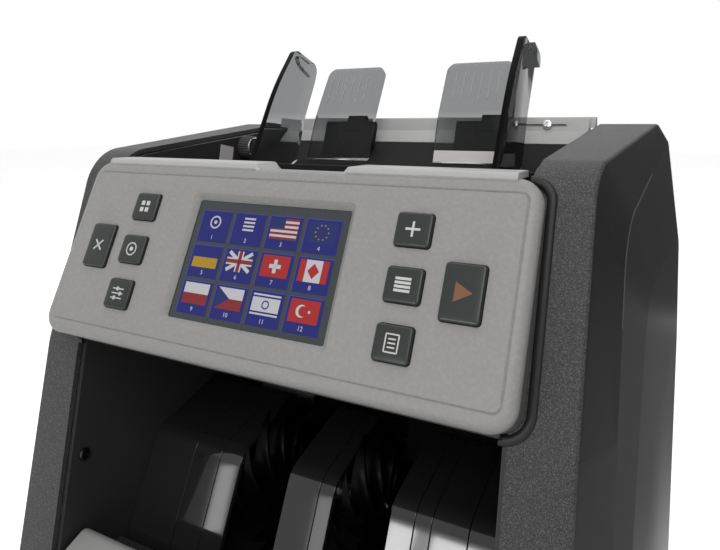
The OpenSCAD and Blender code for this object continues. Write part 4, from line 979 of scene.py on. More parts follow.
class COUNTER_OT_screen(bpy.types.Operator):
    """Lit tiles on the display: plain stripes, crosses and discs with numbers below"""
    bl_idname = "counter.screen"
    bl_label = "Display"

    def execute(self, context):
        glow = [lit("Lit tile", colours().tile)] + [lit("Lit " + name, colour) for name, colour in GLOWS]
        glass = NODES["display_glass"].data.materials
        glass.clear()
        glass.append(shades()["screen"])
        shape = Shape()
        edges = [strip((-7.7, 6.75), (7.7, 6.75), 0.25), strip((-7.75, -6.8), (-7.75, 6.7), 0.25)]
        for k in range(TILES):
            x, v = tile_at(k)
            self.layer(shape, [box(0, 0, TILE_W, TILE_H)], x, v, 0, TILE)
            self.layer(shape, edges, x, v, 1, PALE_BLUE)
            for level, (mark, outlines) in enumerate(self.picture(k)):
                self.layer(shape, outlines, x, v + PICTURE_UP, level + 1, mark)
        picture = make("screen_picture", shape, glow, 30, merge=False)
        dress(picture, "machine", "window_glass")
        dress(self.numbers(glow[WHITE]), "machine", "window_glass")
        return {"FINISHED"}

    def layer(self, shape, outlines, x, v, level, mark):
        """Thin layer of the picture; each level stands a little higher."""
        low = -PANEL_FACE + LAYER_LOW
        for outline in outlines:
            moved = [(px + x, pv + v) for px, pv in outline]
            shape.slab(moved, low, low + LAYER_T + LAYER_STEP * level, mark)

    def picture(self, k):
        """Pairs of colour index and outlines, from the back to the front."""
        w, h = PICTURE_W, PICTURE_H
        whole, lower = [box(0, 0, w, h)], [box(0, -h / 4, w, h / 2)]
        if k == 0:
            return [(WHITE, ring_parts(0, 0.2, 2.5, 0.7) + [disc(0, 0.2, 0.8)])]
        if k == 1:
            return [(WHITE, [box(0, y, 5.6, 0.8) for y in (-1.9, -0.3, 1.3, 2.9)])]
        if k == 2:
            bars = [box(0, -h / 2 + h / 9 * (2 * i + 0.5), w, h / 9) for i in range(5)]
            return [(WHITE, whole), (DEEP_RED, bars), (NAVY, [box(-w / 4, h / 4, w / 2, h / 2)])]
        if k == 3:
            dots = [disc(*around((0, 0), 2.9, math.pi * i / 5), 0.32, 8) for i in range(10)]
            return [(NAVY, whole), (YELLOW, dots)]
        if k == 4:
            return [(TILE, whole), (YELLOW, lower)]
        if k == 5:
            a, b = w / 2 - 0.7, h / 2 - 0.5
            diagonal = [strip((-a, -b), (a, b), 1.5), strip((-a, b), (a, -b), 1.5)]
            return [(NAVY, whole), (WHITE, diagonal), (WHITE, [box(0, 0, 2.9, h), box(0, 0, w, 2.9)]),
                    (DEEP_RED, [box(0, 0, 1.6, h), box(0, 0, w, 1.6)])]
        if k == 6:
            return [(RED, whole), (WHITE, [box(0, 0, 1.6, 5.4), box(0, 0, 5.4, 1.6)])]
        if k == 7:
            lozenge = [(-2.6, 0), (0, -3.0), (2.6, 0), (0, 3.0)]
            return [(RED, whole), (WHITE, [box(0, 0, w * 0.56, h)]), (RED, [lozenge])]
        if k == 8:
            return [(WHITE, whole), (DEEP_RED, lower)]
        if k == 9:
            wedge = [(-w / 2, -h / 2), (0, 0), (-w / 2, h / 2)]
            return [(WHITE, whole), (DEEP_RED, lower), (NAVY, [wedge])]
        if k == 10:
            bars = [box(0, y, w, 0.7) for y in (-3.7, 3.7)]
            return [(TILE, whole), (WHITE, [box(0, 0, w, 5.4)]), (WHITE, bars),
                    (TILE, ring_parts(0, 0, 1.5, 0.5, 18))]
        return [(RED, whole), (WHITE, [disc(-1.2, 0, 2.4)]), (RED, [disc(-0.4, 0, 1.95)]),
                (WHITE, [disc(2.3, 0, 0.55, 10)])]

    def numbers(self, material):
        """Small plain numbers under the pictures."""
        shape = Shape()
        turn = Matrix.Rotation(math.pi / 2 - sizes().panel_tilt, 4, "X")
        for k in range(TILES):
            curve = bpy.data.curves.new("number", "FONT")
            curve.body, curve.size, curve.align_x = str(k + 1), 2.5, "CENTER"
            curve.extrude, curve.resolution_u = 0.02, 3
            text = link(bpy.data.objects.new("number", curve))
            graph = bpy.context.evaluated_depsgraph_get()
            mesh = bpy.data.meshes.new_from_object(text.evaluated_get(graph))
            x, v = tile_at(k)
            at = Matrix.Translation(panel_point(x, v - NUMBER_DROP, -PANEL_FACE + 0.06)) @ turn
            shape.add([at @ p.co for p in mesh.vertices], [list(f.vertices) for f in mesh.polygons])
            bpy.data.objects.remove(text)
            bpy.data.meshes.remove(mesh)
            bpy.data.curves.remove(curve)
        return make("screen_numbers", shape, [material], 30)


# Hopper

def rib_tree():
    """Row of plain box ribs along X, with named inputs for count, pitch and size."""
    tree = bpy.data.node_groups.new("Rib row", "GeometryNodeTree")
    ins = [("Count", "NodeSocketInt", 5), ("Pitch", "NodeSocketFloat", 0.005),
           ("Width", "NodeSocketFloat", 0.0008), ("Length", "NodeSocketFloat", 0.014),
           ("Height", "NodeSocketFloat", 0.0006), ("Material", "NodeSocketMaterial", None)]
    for label, kind, default in ins:
        socket(tree, label, "INPUT", kind, default)
    socket(tree, "Geometry", "OUTPUT", "NodeSocketGeometry")
    gi, go = tree.nodes.new("NodeGroupInput"), tree.nodes.new("NodeGroupOutput")
    line = tree.nodes.new("GeometryNodeMeshLine")
    tree.links.new(gi.outputs["Count"], line.inputs["Count"])
    step = tree.nodes.new("ShaderNodeCombineXYZ")
    tree.links.new(gi.outputs["Pitch"], step.inputs["X"])
    tree.links.new(step.outputs[0], line.inputs["Offset"])
    bar = tree.nodes.new("GeometryNodeMeshCube")
    size = tree.nodes.new("ShaderNodeCombineXYZ")
    for axis, label in (("X", "Width"), ("Y", "Height"), ("Z", "Length")):
        tree.links.new(gi.outputs[label], size.inputs[axis])
    tree.links.new(size.outputs[0], bar.inputs["Size"])
    for axis, count in (("X", 3), ("Y", 2), ("Z", 4)):
        bar.inputs["Vertices " + axis].default_value = count
    copies = tree.nodes.new("GeometryNodeInstanceOnPoints")
    tree.links.new(line.outputs["Mesh"], copies.inputs["Points"])
    tree.links.new(bar.outputs["Mesh"], copies.inputs["Instance"])
    real = tree.nodes.new("GeometryNodeRealizeInstances")
    tree.links.new(copies.outputs[0], real.inputs[0])
    paint = tree.nodes.new("GeometryNodeSetMaterial")
    tree.links.new(real.outputs[0], paint.inputs["Geometry"])
    tree.links.new(gi.outputs["Material"], paint.inputs["Material"])
    tree.links.new(paint.outputs[0], go.inputs[0])
    return tree


def grow(name, tree, values, place):
    """Runs a Geometry Nodes tree and keeps its result as a plain mesh in place."""
    obj = link(bpy.data.objects.new(name, bpy.data.meshes.new(name)))
    m = obj.modifiers.new("Nodes", "NODES")
    m.node_group = tree
    for item in tree.interface.items_tree:
        if item.in_out == "INPUT" and item.name in values:
            m[item.identifier] = values[item.name]
    settle(obj)
    obj.data.transform(place)
    obj.data.update()
    return obj


# Rests: foot, knee and tip of their side view, inner and outer edge, lean of the outer edge, corner radius
REST_FOOT = on_feed(86, 0.05)
REST_KNEE, REST_TIP = (REST_FOOT[0] + 8, REST_FOOT[1] + 25), (REST_FOOT[0] + 25, 290.0)
REST_IN, REST_OUT, REST_LEAN, REST_R = 20.5, 65.0, 5.0, 5.0
RIBS_LEFT, RIBS_RIGHT, RIB_PITCH, RIB_W, RIB_LENGTH, RIB_H = -55.9, 27.3, 5.1, 0.35, 19, 0.4
GUIDE_BROW, GUIDE_TIP, GUIDE_BACK = (57.0, 276.0), (77.5, 300.6), (102.5, 292.0)
GUIDE_GAP, LIP_W = 1.8, 3
BACK_RISE, BACK_END_X, SLOT_X, SLOT_W, SLOT_H = 2.5, 103.0, 71.0, 34.0, 1.7
# Blocks behind a rest: from and to along X, low and high up the rest, lean of the top and depth
LATCHES = ((10.5, 21.3, 4, 25.5, 0.7, 8), (22.2, 43, 4, 25.5, 0.7, 7), (24.5, 36.5, 20, 29, 2.5, 6),
           (20.8, 22.7, 4, 15, 0, 7))


class COUNTER_OT_hopper(bpy.types.Operator):
    """Smoked side guides, ribbed rear rests with their blocks, and the back ledge"""
    bl_idname = "counter.hopper"
    bl_label = "Guides and rests"

    def execute(self, context):
        s, mats = sizes(), shades()
        for name, side in (("left", -1), ("right", 1)):
            self.guide(name, side, s, mats)
            self.rest(name, side, s, mats)
        self.blocks(mats)
        self.back(mats)
        return {"FINISHED"}

    def guide(self, name, side, s, mats):
        """Clear plate with a finger lip on its outer side and a blacked front edge."""
        heel = between(REST_KNEE, REST_TIP, 0.75)
        corners = [on_feed(12, 0.5), GUIDE_BROW, GUIDE_TIP, GUIDE_BACK, (heel[0] - GUIDE_GAP, heel[1]),
                   (REST_KNEE[0] - GUIDE_GAP, REST_KNEE[1]), on_feed(83.5, 0.5)]
        outline = rounded(corners, [3, 150, 6, 5, 12, 30, 2], 10)
        front = between(GUIDE_TIP, GUIDE_BACK, 0.2)
        lip = rounded([(front[0] + 3.5, front[1] - 7.3), (front[0], front[1] - 0.3),
                       (GUIDE_BACK[0] - 0.5, GUIDE_BACK[1] - 0.3), (GUIDE_BACK[0] - 3, GUIDE_BACK[1] - 8)],
                      [2, 2, 5, 2], 8)
        shape, ridge, stem = Shape(), Shape(), Shape()
        inner, outer = side * (s.guide_x - s.guide_t / 2), side * (s.guide_x + s.guide_t / 2)
        shape.prism(outline, inner, outer)
        ridge.prism(lip, side * s.guide_x, outer + side * LIP_W)
        # The right guide takes the darker copy of the smoke as painted shade
        clear = mats["smoke_deep" if side > 0 else "smoke"]
        plate = make("clear_guide_" + name, shape, [clear, mats["wheel"]], 30)
        cut(plate, [make("cutter", ridge, [])], "UNION")
        soften(plate, 0.4, 40)
        for face in plate.data.polygons:
            at_plate = abs(face.center.x) < (s.guide_x + s.guide_t / 2 + 0.1) * MM
            if at_plate and face.normal.y < -0.5 and abs(face.normal.x) < 0.5:
                face.material_index = 1
        dress(plate, "guide_" + name, "smoked_clear", "guide_" + name)
        foot = [on_feed(67, 1), on_feed(75, 1), on_feed(75, -4), on_feed(67, -4)]
        stem.prism(foot, inner + side * 0.05, outer - side * 0.05)
        dress(make("guide_stem_" + name, stem, [mats["wheel"]], 30), "guide_" + name, "smoked_clear")

    def back(self, mats):
        """Light grey back ledge with its screw slot; its top laps towards the covers."""
        low, top, step = on_feed(FEED_LENGTH, 0), BODY_H + BACK_RISE, BODY_H - 9.8
        knee, edge = (REAR_PANEL_Y - 7.8, top - 7.7), (REAR_PANEL_Y - 4.5, top)
        corners = [(low[0] + 0.3, low[1] + 0.2), knee, edge, (REAR_PANEL_Y, top), (REAR_PANEL_Y, step),
                   (REAR_PANEL_Y - 2.7, step), (low[0] + 4, low[1] - 1.3)]
        shape = Shape()
        shape.prism(rounded(corners, [0.3, 1.5, 1.2, 0.8, 0.3, 0, 0.3], 4), -CROSS_X, CROSS_X)
        # The back ledge takes light grey painted lighter, as painted light on its top
        body = make("back_ledge", shape, [mats["pale"]], 30)
        run = (Vector(edge) - Vector(knee)).normalized()
        at, out = Vector(knee) + run * 3.4, Vector((-run.y, run.x))
        rings = []
        for depth in (-1.6, 2.0):
            ring = []
            for px, pv in oblong(SLOT_W, SLOT_H, 0.8, 5):
                q = at + run * pv + out * depth
                ring.append((SLOT_X + px, q.x, q.y))
            rings.append(ring)
        slot = Shape()
        slot.loft(rings)
        soften(body, 0.25, 38)
        cut(body, [make("cutter", slot, [])])
        dress(body, "machine", "light_grey", "hopper_back")
        cut_z = BODY_H - 3.4
        share = (cut_z - knee[1]) / (edge[1] - knee[1])
        lap, end = Shape(), [between(knee, edge, share), edge, (REAR_PANEL_Y, top), (REAR_PANEL_Y, cut_z)]
        for side in (-1, 1):
            lap.prism(rounded(end, [0, 1.2, 0.8, 0], 4), side * (CROSS_X + 0.02), side * BACK_END_X)
        # The ends take the same painted light
        dress(make("back_ledge_ends", lap, [mats["pale"]], 30, 0.3), "machine", "light_grey")

    def rest(self, name, side, s, mats):
        """Smoked rest with rounded upper corners and a row of ribs."""
        path = bent([REST_FOOT, REST_KNEE, REST_TIP], [0, 60, 0], 16)
        top, share = path[-1][1], REST_R / (Vector(path[-1]) - Vector(path[-2])).length
        stops = [k / 6 * (1 - share) for k in range(1, 7)]
        stops += [1 - share * (1 - math.sin(math.pi / 2 * k / 10)) for k in range(1, 11)]
        dense = path[:-1] + [between(path[-2], path[-1], k) for k in stops]
        rings = []
        for (y, z), (yb, zb) in zip(dense, beside(dense, -s.rest_t)):
            near_top = max(0.0, REST_R - (top - z))
            trim = REST_R - math.sqrt(max(REST_R * REST_R - near_top * near_top, 0.2))
            x0, x1 = side * (REST_IN + trim), side * (REST_OUT - REST_LEAN * (z - 200) / 90 - trim)
            zb = max(zb, self.floor_at(yb))
            rings.append([(x0, y, z), (x1, y, z), (x1, yb, zb), (x0, yb, zb)])
        shape = Shape()
        shape.loft(rings)
        rest = make("clear_rest_" + name, shape, [mats["smoke"]], 30, 0.35)
        dress(rest, "machine", "smoked_clear", "rest_" + name)
        lean = math.atan2(REST_TIP[0] - REST_KNEE[0], REST_TIP[1] - REST_KNEE[1])
        y, z = between(REST_KNEE, REST_TIP, 0.58)
        at = (RIBS_RIGHT if side > 0 else RIBS_LEFT, y - 0.1 * math.cos(lean), z + 0.1 * math.sin(lean))
        place = Matrix.Translation(Vector(at) * MM) @ Matrix.Rotation(-lean, 4, "X")
        values = {"Count": s.rest_ribs, "Pitch": RIB_PITCH * MM, "Width": RIB_W * MM,
                  "Length": RIB_LENGTH * MM, "Height": RIB_H * MM, "Material": mats["rib"]}
        ribs = grow("rest_ribs_" + name, bpy.data.node_groups.get("Rib row") or rib_tree(), values, place)
        dress(ribs, "machine", "smoked_clear")

    def blocks(self, mats):
        """Black blocks with a latch behind each rest, in the same order on both sides."""
        foot, base = Vector(REST_FOOT), on_feed(100, 0.1)
        up = (Vector(REST_KNEE) - foot).normalized()
        behind = foot + Vector((up.y, -up.x)) * 3.1
        shape = Shape()
        for edge in (-REST_OUT, REST_IN):
            for x0, x1, low, high, lean, deep in LATCHES:
                a, b = behind + up * low, behind + up * high
                corners = [tuple(a), base, (b.x + deep, b.y), (b.x + lean, b.y)]
                shape.prism(rounded(corners, [0.4, 0.4, 2.5, 2.0], 5), edge + x0, edge + x1)
        latches = make("rest_latches", shape, [mats["feed"]], 30, 0.5, merge=False)
        dress(latches, "machine", "black_liner", "rest_blocks")

    def floor_at(self, y):
        """Height of the feed plate's face at a depth."""
        return FEED_FOOT[1] + (y - FEED_FOOT[0]) * math.tan(math.radians(FEED_SLOPE)) + 0.05


# Chute and stacker wheels

# Side view of the chute, the rounding of its bends and the edges of its strips along X
CHUTE_PATH = [(36.0, FLOOR_Z), (36.0, 104.0), (-13.5, 90.5), (-35.5, 45.5), (-37.0, 38.0), (-37.0, FLOOR_Z)]
CHUTE_BENDS, CHUTE_STEPS = [0, 4, 14, 6, 0, 0], 18
CHUTE_STRIPS = {"left": [-CROSS_X, -70.9, -54.3, -41.5], "middle": [-12.5, 5.0, 12.5],
                "right": [41.5, 52.8, 60.4, 76.6, CROSS_X]}
HUB_R, HUB_BORE, BLADE_SINK = 12.0, 4.02, 1.5
# Blades: sweep and first turn in degrees, thickness at root and tip, curl, and where and how the width tapers
BLADE_SWEEP, BLADE_TURN, BLADE_STEPS = 78, 3, 16
BLADE_ROOT, BLADE_TIP, BLADE_CURL = 3.4, 1.2, 0.35
TAPER_FROM, TAPER, TAPER_CURVE = 0.35, 0.93, 1.15


class COUNTER_OT_chute(bpy.types.Operator):
    """Glossy chute in strips with fine seams"""
    bl_idname = "counter.chute"
    bl_label = "Chute"

    def execute(self, context):
        s, mats = sizes(), shades()
        outline = sheet_outline(bent(CHUTE_PATH, CHUTE_BENDS, CHUTE_STEPS), s.chute_t)
        gap = s.chute_seam / 2
        for name, stops in CHUTE_STRIPS.items():
            shape = Shape()
            for a, b in zip(stops[:-1], stops[1:]):
                shape.prism(outline, a + (gap if a != stops[0] else 0), b - (gap if b != stops[-1] else 0))
            piece = make("chute_strips_" + name, shape, [mats["chute"]], 28, 0.2)
            even_normals(piece)
            dress(piece, "machine", "black_gloss", "chute_" + name)
        return {"FINISHED"}


class COUNTER_OT_wheels(bpy.types.Operator):
    """Stacker wheels with curled, tapered blades"""
    bl_idname = "counter.wheels"
    bl_label = "Stacker wheels"

    def execute(self, context):
        s, mats = sizes(), shades()
        shape = Shape()
        for side in (-1, 1):
            x = side * s.wheel_x
            self.hub(shape, x, s.wheel_w)
            for k in range(s.wheel_blades):
                self.blade(shape, x, 2 * math.pi * k / s.wheel_blades + math.radians(BLADE_TURN), s)
        # The wheels take the black darkened as painted shade of the pocket
        wheels = make("stacker_blades", shape, [mats["wheel"]], 40, 0.3, merge=False)
        dress(wheels, "stacker", "black_gloss", "stacker_wheels")
        return {"FINISHED"}

    def blade(self, shape, x, turn, s):
        """Curled blade that gets thinner and narrower towards its tip."""
        root, rings = HUB_R - BLADE_SINK, []
        for i in range(BLADE_STEPS + 1):
            t = i / BLADE_STEPS
            r = root + (s.wheel_r - root) * t * (1 + BLADE_CURL * (1 - t))
            half = (BLADE_ROOT + (BLADE_TIP - BLADE_ROOT) * t) / 2
            past = max(0.0, (t - TAPER_FROM) / (1 - TAPER_FROM))
            wide = s.wheel_w * (1 - TAPER * past ** TAPER_CURVE)
            ring = []
            for dx, da in ((0, -half), (wide, -half), (wide, half), (0, half)):
                a = turn - math.radians(BLADE_SWEEP) * t + da / r
                ring.append((x - s.wheel_w / 2 + dx, *around(STACKER_AT, r, a)))
            rings.append(ring)
        shape.loft(rings)

    def hub(self, shape, x, w):
        """Hub with a bore and a step on each face."""
        face = [(HUB_BORE, w / 2), (7.0, w / 2), (7.4, w / 2 - 0.8), (HUB_R - 0.6, w / 2 - 0.8),
                (HUB_R, w / 2 - 1.4)]
        revolve(shape, [(r, -dx) for r, dx in face] + face[::-1], x, STACKER_AT)


def revolve(shape, profile, x, at, n=48, mark=0):
    """Turns a closed profile of (radius, x) round an axis along X."""
    turns = [2 * math.pi * i / n for i in range(n)]
    shape.hoop([[(x + dx, *around(at, r, a)) for r, dx in profile] for a in turns], mark)


# Small pieces

# Levels of a screw head, as shares of its radius and height, and of its cross
HEAD_LEVELS, HEAD_TURNS = ((1, 0.0), (1, 0.35), (0.93, 0.7), (0.8, 0.9), (0.66, 1)), 32
CROSS_ARM, CROSS_SLOT, CROSS_FLOOR = 0.62, 0.17, 0.45
# Places of the small pieces
POCKET_SCREW = (-60.0, 97.6)
LEDGE_SCREW, LEDGE_SCREW_FACES = (78.0, 108.4, 254.3), (0, -1, 0.42)
REAR_SCREW_X, REAR_SCREW_Z = (-92.0, 92.0), (20.0, 100.0, 236.0)
SOCKET_PINS, SOCKET_PIN_Y = ((59.0, 22.0), (66.0, 27.0), (73.0, 22.0)), (101.6, 113.5)
FOAM, FOAM_X = [(111.4, 37.0), (112.7, 37.0), (112.7, 89.0), (111.4, 89.0)], (-73.0, -7.0)
KNOB_R, KNOB_TEETH, KNOB_TOOTH, KNOB_STEPS, KNOB_FACE = 6.4, 30, 0.22, 120, -91.4
# Sections along the knob, as (x, growth of its radius)
KNOB_SECTIONS =((-99.6, 0.0), (-98.9, 0.7), (-92.4, 0.7), (KNOB_FACE, 0.0))
WALL_STICKER = [(41.0, 233.0), (53.0, 231.4), (54.6, 240.6), (43.0, 242.6)]
FOOT_STICKER_X = (21.4, 62.4)


def screw_head(shape, at, normal, r, h):
    """Pan head with a cross recess, seated at a point and facing along normal."""
    n = Vector(normal).normalized()
    u = n.orthogonal().normalized()
    v = n.cross(u)
    angles = [2 * math.pi * i / HEAD_TURNS for i in range(HEAD_TURNS)]
    arm, slot = CROSS_ARM * r, CROSS_SLOT * r

    def cross(a):
        """Edge of the cross at an angle."""
        q = (a + math.pi / 4) % (math.pi / 2) - math.pi / 4
        return min(arm, slot / max(abs(math.sin(q)), 1e-6)) if abs(q) > 0.01 else arm

    def ring(z, reach):
        """Points at a height, each at its own reach from the axis."""
        return [tuple(Vector(at) + n * z + (u * math.cos(a) + v * math.sin(a)) * k)
                for a, k in zip(angles, reach)]

    rings = [ring(z * h, [k * r] * HEAD_TURNS) for k, z in HEAD_LEVELS]
    rings += [ring(z, [cross(a) for a in angles]) for z in (h, CROSS_FLOOR * h)]
    shape.loft(rings)


class COUNTER_OT_small(bpy.types.Operator):
    """Gap knob, screws, blank stickers, the pins of the mains socket and the foam behind the vent"""
    bl_idname = "counter.small"
    bl_label = "Small pieces"

    def execute(self, context):
        mats = shades()
        self.knob(mats)
        screws = Shape()
        for side in (-1, 1):
            screw_head(screws, (side * (LINER_X - 0.02), *POCKET_SCREW), (-side, 0, 0), 3.0, 1.5)
        dress(make("pocket_screws", screws, [mats["oxide"]], 30), "machine", "screw_steel", "liner_screws")
        tray = Shape()
        screw_head(tray, LEDGE_SCREW, LEDGE_SCREW_FACES, 2.6, 1.5)
        dress(make("ledge_screw", tray, [mats["bright"]], 30), "machine", "screw_steel", "tray_screw")
        rear = Shape()
        for x in REAR_SCREW_X:
            for z in REAR_SCREW_Z:
                screw_head(rear, (x, REAR_PANEL_Y, z), (0, 1, 0), 2.8, 1.2)
        dress(make("rear_screws", rear, [mats["zinc"]], 30), "machine", "screw_steel")
        pins = Shape()
        for x, z in SOCKET_PINS:
            outline = oblong(2.2, 4.2, 0.4, 3)
            pins.loft([[(x + px, y, z + pz) for px, pz in outline] for y in SOCKET_PIN_Y])
        dress(make("socket_pins", pins, [mats["brass"]], 30), "machine", "screw_steel")
        self.stickers(mats)
        foam = Shape()
        foam.prism(rounded(FOAM, [0.3] * 4, 3), *FOAM_X)
        dress(make("vent_filter", foam, [mats["rubber"]], 30), "machine", "black_rubber")
        return {"FINISHED"}

    def knob(self, mats):
        """Knurled knob with a bright rim on the left hopper wall."""
        shape = Shape()
        rings = []
        for x, grow in KNOB_SECTIONS:
            ring = []
            for i in range(KNOB_STEPS):
                a = 2 * math.pi * i / KNOB_STEPS
                ring.append((x, *around(KNOB_AT, KNOB_R + grow + KNOB_TOOTH * math.cos(KNOB_TEETH * a), a)))
            rings.append(ring)
        shape.loft(rings)
        rim = [(5.2, 0.0), (6.3, 0.0), (6.3, 0.35), (5.9, 0.6), (5.2, 0.35)]
        revolve(shape, rim, KNOB_FACE, KNOB_AT, 64, 1)
        bar = rounded(box(*KNOB_AT, 1.2, 9.2), [0.5] * 4, 4)
        shape.prism(bar, KNOB_FACE - 0.1, KNOB_FACE + 0.45, 1)
        revolve(shape, [(0.4, 0.0), (3.0, 0.0), (3.0, -13.0), (0.4, -13.0)], KNOB_FACE - 0.6, KNOB_AT, 32)
        knob = make("gap_knob_cap", shape, [mats["liner"], mats["bright"]], 35, merge=False)
        dress(knob, "gap_knob", "black_liner", "gap_knob")

    def stickers(self, mats):
        """Blank pale sticker on the hopper wall and a pale strip on the right rest's foot."""
        shape = Shape()
        shape.prism(WALL_STICKER, -LINER_X + 0.02, -LINER_X + 0.14)
        y, z = on_feed(86, 0.6)
        foot = [(y - 0.35, z + 0.2), (y - 0.05, z + 0.2), (y + 1.9, z + 6.4), (y + 1.6, z + 6.5)]
        shape.prism(foot, *FOOT_STICKER_X)
        dress(make("blank_stickers", shape, [mats["paper"]], 30), "machine", "light_grey")


# Finishes of the CAD nodes that stay

STAYING = {
    "liner": ("liner_left", "liner_right", "pocket_ceiling", "guide_base", "carrier_left", "carrier_right",
              "sensor_bars"),
    "feed": ("hopper_front", "feed_plate"),
    "base": ("base_tray",), "rubber": ("feet", "drive_belts", "transport_roller", "pinch_roller"),
    "zinc": ("frame_left", "frame_right", "display_module", "main_motor", "stacker_motor"),
    "grey": ("stack_tray",), "board": ("key_board", "main_board"),
    "tyre": ("pickup_roller", "feed_roller", "separator_roller"), "ivory": ("guide_pinion",),
    "steel": ("stacker_shaft",), "brass": ("main_pulley", "stacker_pulley"), "alu": ("power_unit",),
    "black": ("power_inlet",), "red": ("power_rocker",), "rim": ("rear_panel", "rear_door"),
}


class COUNTER_OT_finishes(bpy.types.Operator):
    """Gives the CAD nodes that stay their procedural finishes"""
    bl_idname = "counter.finishes"
    bl_label = "Finishes"

    def execute(self, context):
        mats = shades()
        for key, names in STAYING.items():
            for name in names:
                materials = NODES[name].data.materials
                materials.clear()
                materials.append(mats[key])
        return {"FINISHED"}


# Stage

FLOOR_SPAN, FLOOR_GLOW, WORLD_SOFT = 12, 0.55, 0.4
# Studio flags: shade and corners in metres
FLAGS = (
    ("flag_rear", 0.1, ((0.2, 0.62, 0.01), (1.1, 0.62, 0.01), (1.1, 0.62, 1.2), (0.2, 0.62, 1.2))),
    ("flag_right", 0.1, ((1.1, 0.62, 0.01), (1.1, -0.5, 0.01), (1.1, -0.5, 1.2), (1.1, 0.62, 1.2))),
    ("flag_left", 0.8,
     ((-1.5, -1.25, 0.1), (-0.865, -1.25, 0.1), (-1.055, -1.25, 0.7), (-1.5, -1.25, 0.7))),
    ("flag_near", 0.9, ((0.17, -0.5, 0.004), (1.1, -0.5, 0.004), (1.1, 0.05, 0.004), (0.17, 0.05, 0.004))),
    ("flag_far", 0.3, ((0.17, 0.05, 0.004), (1.1, 0.05, 0.004), (1.1, 0.62, 0.004), (0.17, 0.62, 0.004))),
)
# Lamps: place, aim, width, height, power and roll in degrees
LAMPS = (
    ("key_lamp", (0.5, -1.3, 1.5), (0, 0, 0.2), 1.2, 1.2, 14.2, 0),
    ("top_lamp", (-0.3, 0.2, 1.9), (0, 0, 0.2), 1.6, 1.6, 9.5, 0),
    ("low_lamp_near", (-0.226, -1.25, 0.35), (-0.226, 0, 0.35), 0.212, 0.2, 2.0, 0),
    ("low_lamp_middle", (-0.353, -1.25, 0.35), (-0.353, 0, 0.35), 0.036, 0.2, 0.1, 0),
    ("low_lamp_far", (-0.41, -1.25, 0.35), (-0.41, 0, 0.35), 0.072, 0.2, 0.68, 0),
    ("strip_lamp_near", (-0.603, -1.25, 0.36), (-0.603, 0, 0.36), 0.05, 0.2, 0.09, 12),
    ("strip_lamp_far", (-0.912, -1.25, 0.36), (-0.912, 0, 0.36), 0.05, 0.2, 0.15, 17),
)
CAMERA_AT, CAMERA_DOWN, CAMERA_LEFT = (0.1496, -0.2459, 0.2542), 6.0, 28.2
SENSOR_W, CAMERA_LENS, CAMERA_SHIFT = 36.0, 30.98, -0.118


def seen_by_camera(tree):
    """1 for rays that come from the camera straight, by a mirror or through clear plastic."""
    path = tree.nodes.new("ShaderNodeLightPath")
    turned = math_node(tree, "MAXIMUM", path.outputs["Is Glossy Ray"], path.outputs["Is Transmission Ray"])
    return math_node(tree, "MAXIMUM", path.outputs["Is Camera Ray"], turned)


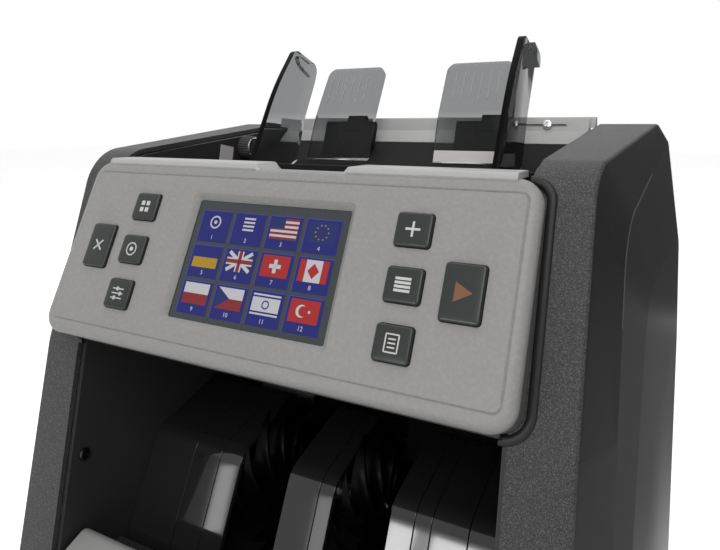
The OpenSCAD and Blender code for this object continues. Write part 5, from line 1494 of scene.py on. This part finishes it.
class COUNTER_OT_stage(bpy.types.Operator):
    """Pale floor, soft lamps and the camera at the photograph's angle"""
    bl_idname = "counter.stage"
    bl_label = "Stage"

    def execute(self, context):
        self.floor()
        self.flags()
        self.world()
        self.lamps()
        self.camera()
        context.scene.view_settings.view_transform = "Standard"
        return {"FINISHED"}

    def floor(self):
        """Pale floor that keeps the shadow and turns white towards the camera."""
        mesh = bpy.data.meshes.new("floor")
        corners = [(x, y, 0) for x, y in box(0, 0, FLOOR_SPAN, FLOOR_SPAN)]
        mesh.from_pydata(corners, [], [(0, 1, 2, 3)])
        floor = link(bpy.data.objects.new("floor", mesh))
        mat = bpy.data.materials.new("Pale floor")
        mat.use_nodes = True
        tree = mat.node_tree
        shader = tree.nodes["Principled BSDF"]
        shader.inputs["Roughness"].default_value = 0.7
        shader.inputs["Base Color"].default_value = (0.84, 0.84, 0.84, 1)
        shader.inputs["Emission Color"].default_value = (1, 1, 1, 1)
        glow = math_node(tree, "MULTIPLY", seen_by_camera(tree), FLOOR_GLOW)
        tree.links.new(glow, shader.inputs["Emission Strength"])
        mesh.materials.append(mat)

    def flags(self):
        """Studio flags round the machine, from dark to pale, which only reflections see."""
        for name, shade, corners in FLAGS:
            mat = bpy.data.materials.new(name)
            mat.use_nodes = True
            shader = mat.node_tree.nodes["Principled BSDF"]
            shader.inputs["Base Color"].default_value = (shade, shade, shade, 1)
            shader.inputs["Roughness"].default_value = 0.9
            mesh = bpy.data.meshes.new(name)
            mesh.from_pydata(corners, [], [(0, 1, 2, 3)])
            mesh.materials.append(mat)
            flag = link(bpy.data.objects.new(name, mesh))
            flag.visible_camera = flag.visible_diffuse = flag.visible_shadow = False
            flag.visible_transmission = flag.visible_volume_scatter = False

    def world(self):
        """Soft light all round, and plain white where the camera sees past the floor."""
        world = bpy.data.worlds.new("Studio")
        bpy.context.scene.world = world
        world.use_nodes = True
        tree = world.node_tree
        tree.nodes.clear()
        out = tree.nodes.new("ShaderNodeOutputWorld")
        soft, white = tree.nodes.new("ShaderNodeBackground"), tree.nodes.new("ShaderNodeBackground")
        for background, strength in ((soft, WORLD_SOFT), (white, 1.0)):
            background.inputs["Color"].default_value = (1, 1, 1, 1)
            background.inputs["Strength"].default_value = strength
        mix = tree.nodes.new("ShaderNodeMixShader")
        tree.links.new(seen_by_camera(tree), mix.inputs["Fac"])
        tree.links.new(soft.outputs[0], mix.inputs[1])
        tree.links.new(white.outputs[0], mix.inputs[2])
        tree.links.new(mix.outputs[0], out.inputs["Surface"])

    def lamps(self):
        """Two soft lamps from above, and low panels in front that the chute mirrors."""
        for name, place, aim, wide, high, power, roll in LAMPS:
            data = bpy.data.lights.new(name, "AREA")
            data.shape, data.size, data.size_y, data.energy = "RECTANGLE", wide, high, power
            lamp = link(bpy.data.objects.new(name, data))
            lamp.location = place
            turn = (Vector(aim) - Vector(place)).to_track_quat("-Z", "Y").to_matrix()
            lamp.rotation_euler = (turn @ Matrix.Rotation(math.radians(roll), 3, "Z")).to_euler()
            lamp.visible_diffuse = wide > 1

    def camera(self):
        """Camera at the photograph's place and angle."""
        data = bpy.data.cameras.new("camera")
        data.sensor_fit, data.sensor_width, data.lens = "HORIZONTAL", SENSOR_W, CAMERA_LENS
        data.shift_y = CAMERA_SHIFT
        data.clip_start = 0.01
        cam = link(bpy.data.objects.new("camera", data))
        cam.location = CAMERA_AT
        cam.rotation_euler = (math.radians(90 - CAMERA_DOWN), 0, math.radians(CAMERA_LEFT))
        bpy.context.scene.camera = cam


class COUNTER_PT_panel(bpy.types.Panel):
    """Lists the steps that build the counter"""
    bl_idname = "COUNTER_PT_panel"
    bl_label = "Banknote counter"
    bl_space_type = "VIEW_3D"
    bl_region_type = "UI"
    bl_category = "Counter"

    def draw(self, context):
        for operator in OPERATORS:
            self.layout.operator(operator.bl_idname)
        for group in (context.scene.counter_sizes, context.scene.counter_colours):
            for key in group.bl_rna.properties.keys():
                if key not in ("rna_type", "name"):
                    self.layout.prop(group, key)


OPERATORS = (COUNTER_OT_covers, COUNTER_OT_panel, COUNTER_OT_housing, COUNTER_OT_keys, COUNTER_OT_screen,
             COUNTER_OT_hopper, COUNTER_OT_chute, COUNTER_OT_wheels, COUNTER_OT_small, COUNTER_OT_finishes,
             COUNTER_OT_stage)
CLASSES = (CounterSizes, CounterColours) + OPERATORS + (COUNTER_PT_panel,)


def register():
    """Registers the classes and hangs their properties on the scene."""
    for cls in CLASSES:
        bpy.utils.register_class(cls)
    bpy.types.Scene.counter_sizes = bpy.props.PointerProperty(type=CounterSizes)
    bpy.types.Scene.counter_colours = bpy.props.PointerProperty(type=CounterColours)


def unregister():
    """Takes the properties and classes away again."""
    del bpy.types.Scene.counter_colours
    del bpy.types.Scene.counter_sizes
    for cls in reversed(CLASSES):
        bpy.utils.unregister_class(cls)


def main():
    """Builds all pieces and the stage."""
    register()
    bpy.ops.counter.covers()
    bpy.ops.counter.panel()
    bpy.ops.counter.housing()
    bpy.ops.counter.keys()
    bpy.ops.counter.screen()
    bpy.ops.counter.hopper()
    bpy.ops.counter.chute()
    bpy.ops.counter.wheels()
    bpy.ops.counter.small()
    bpy.ops.counter.finishes()
    bpy.ops.counter.stage()


if __name__ == "__main__":
    main()
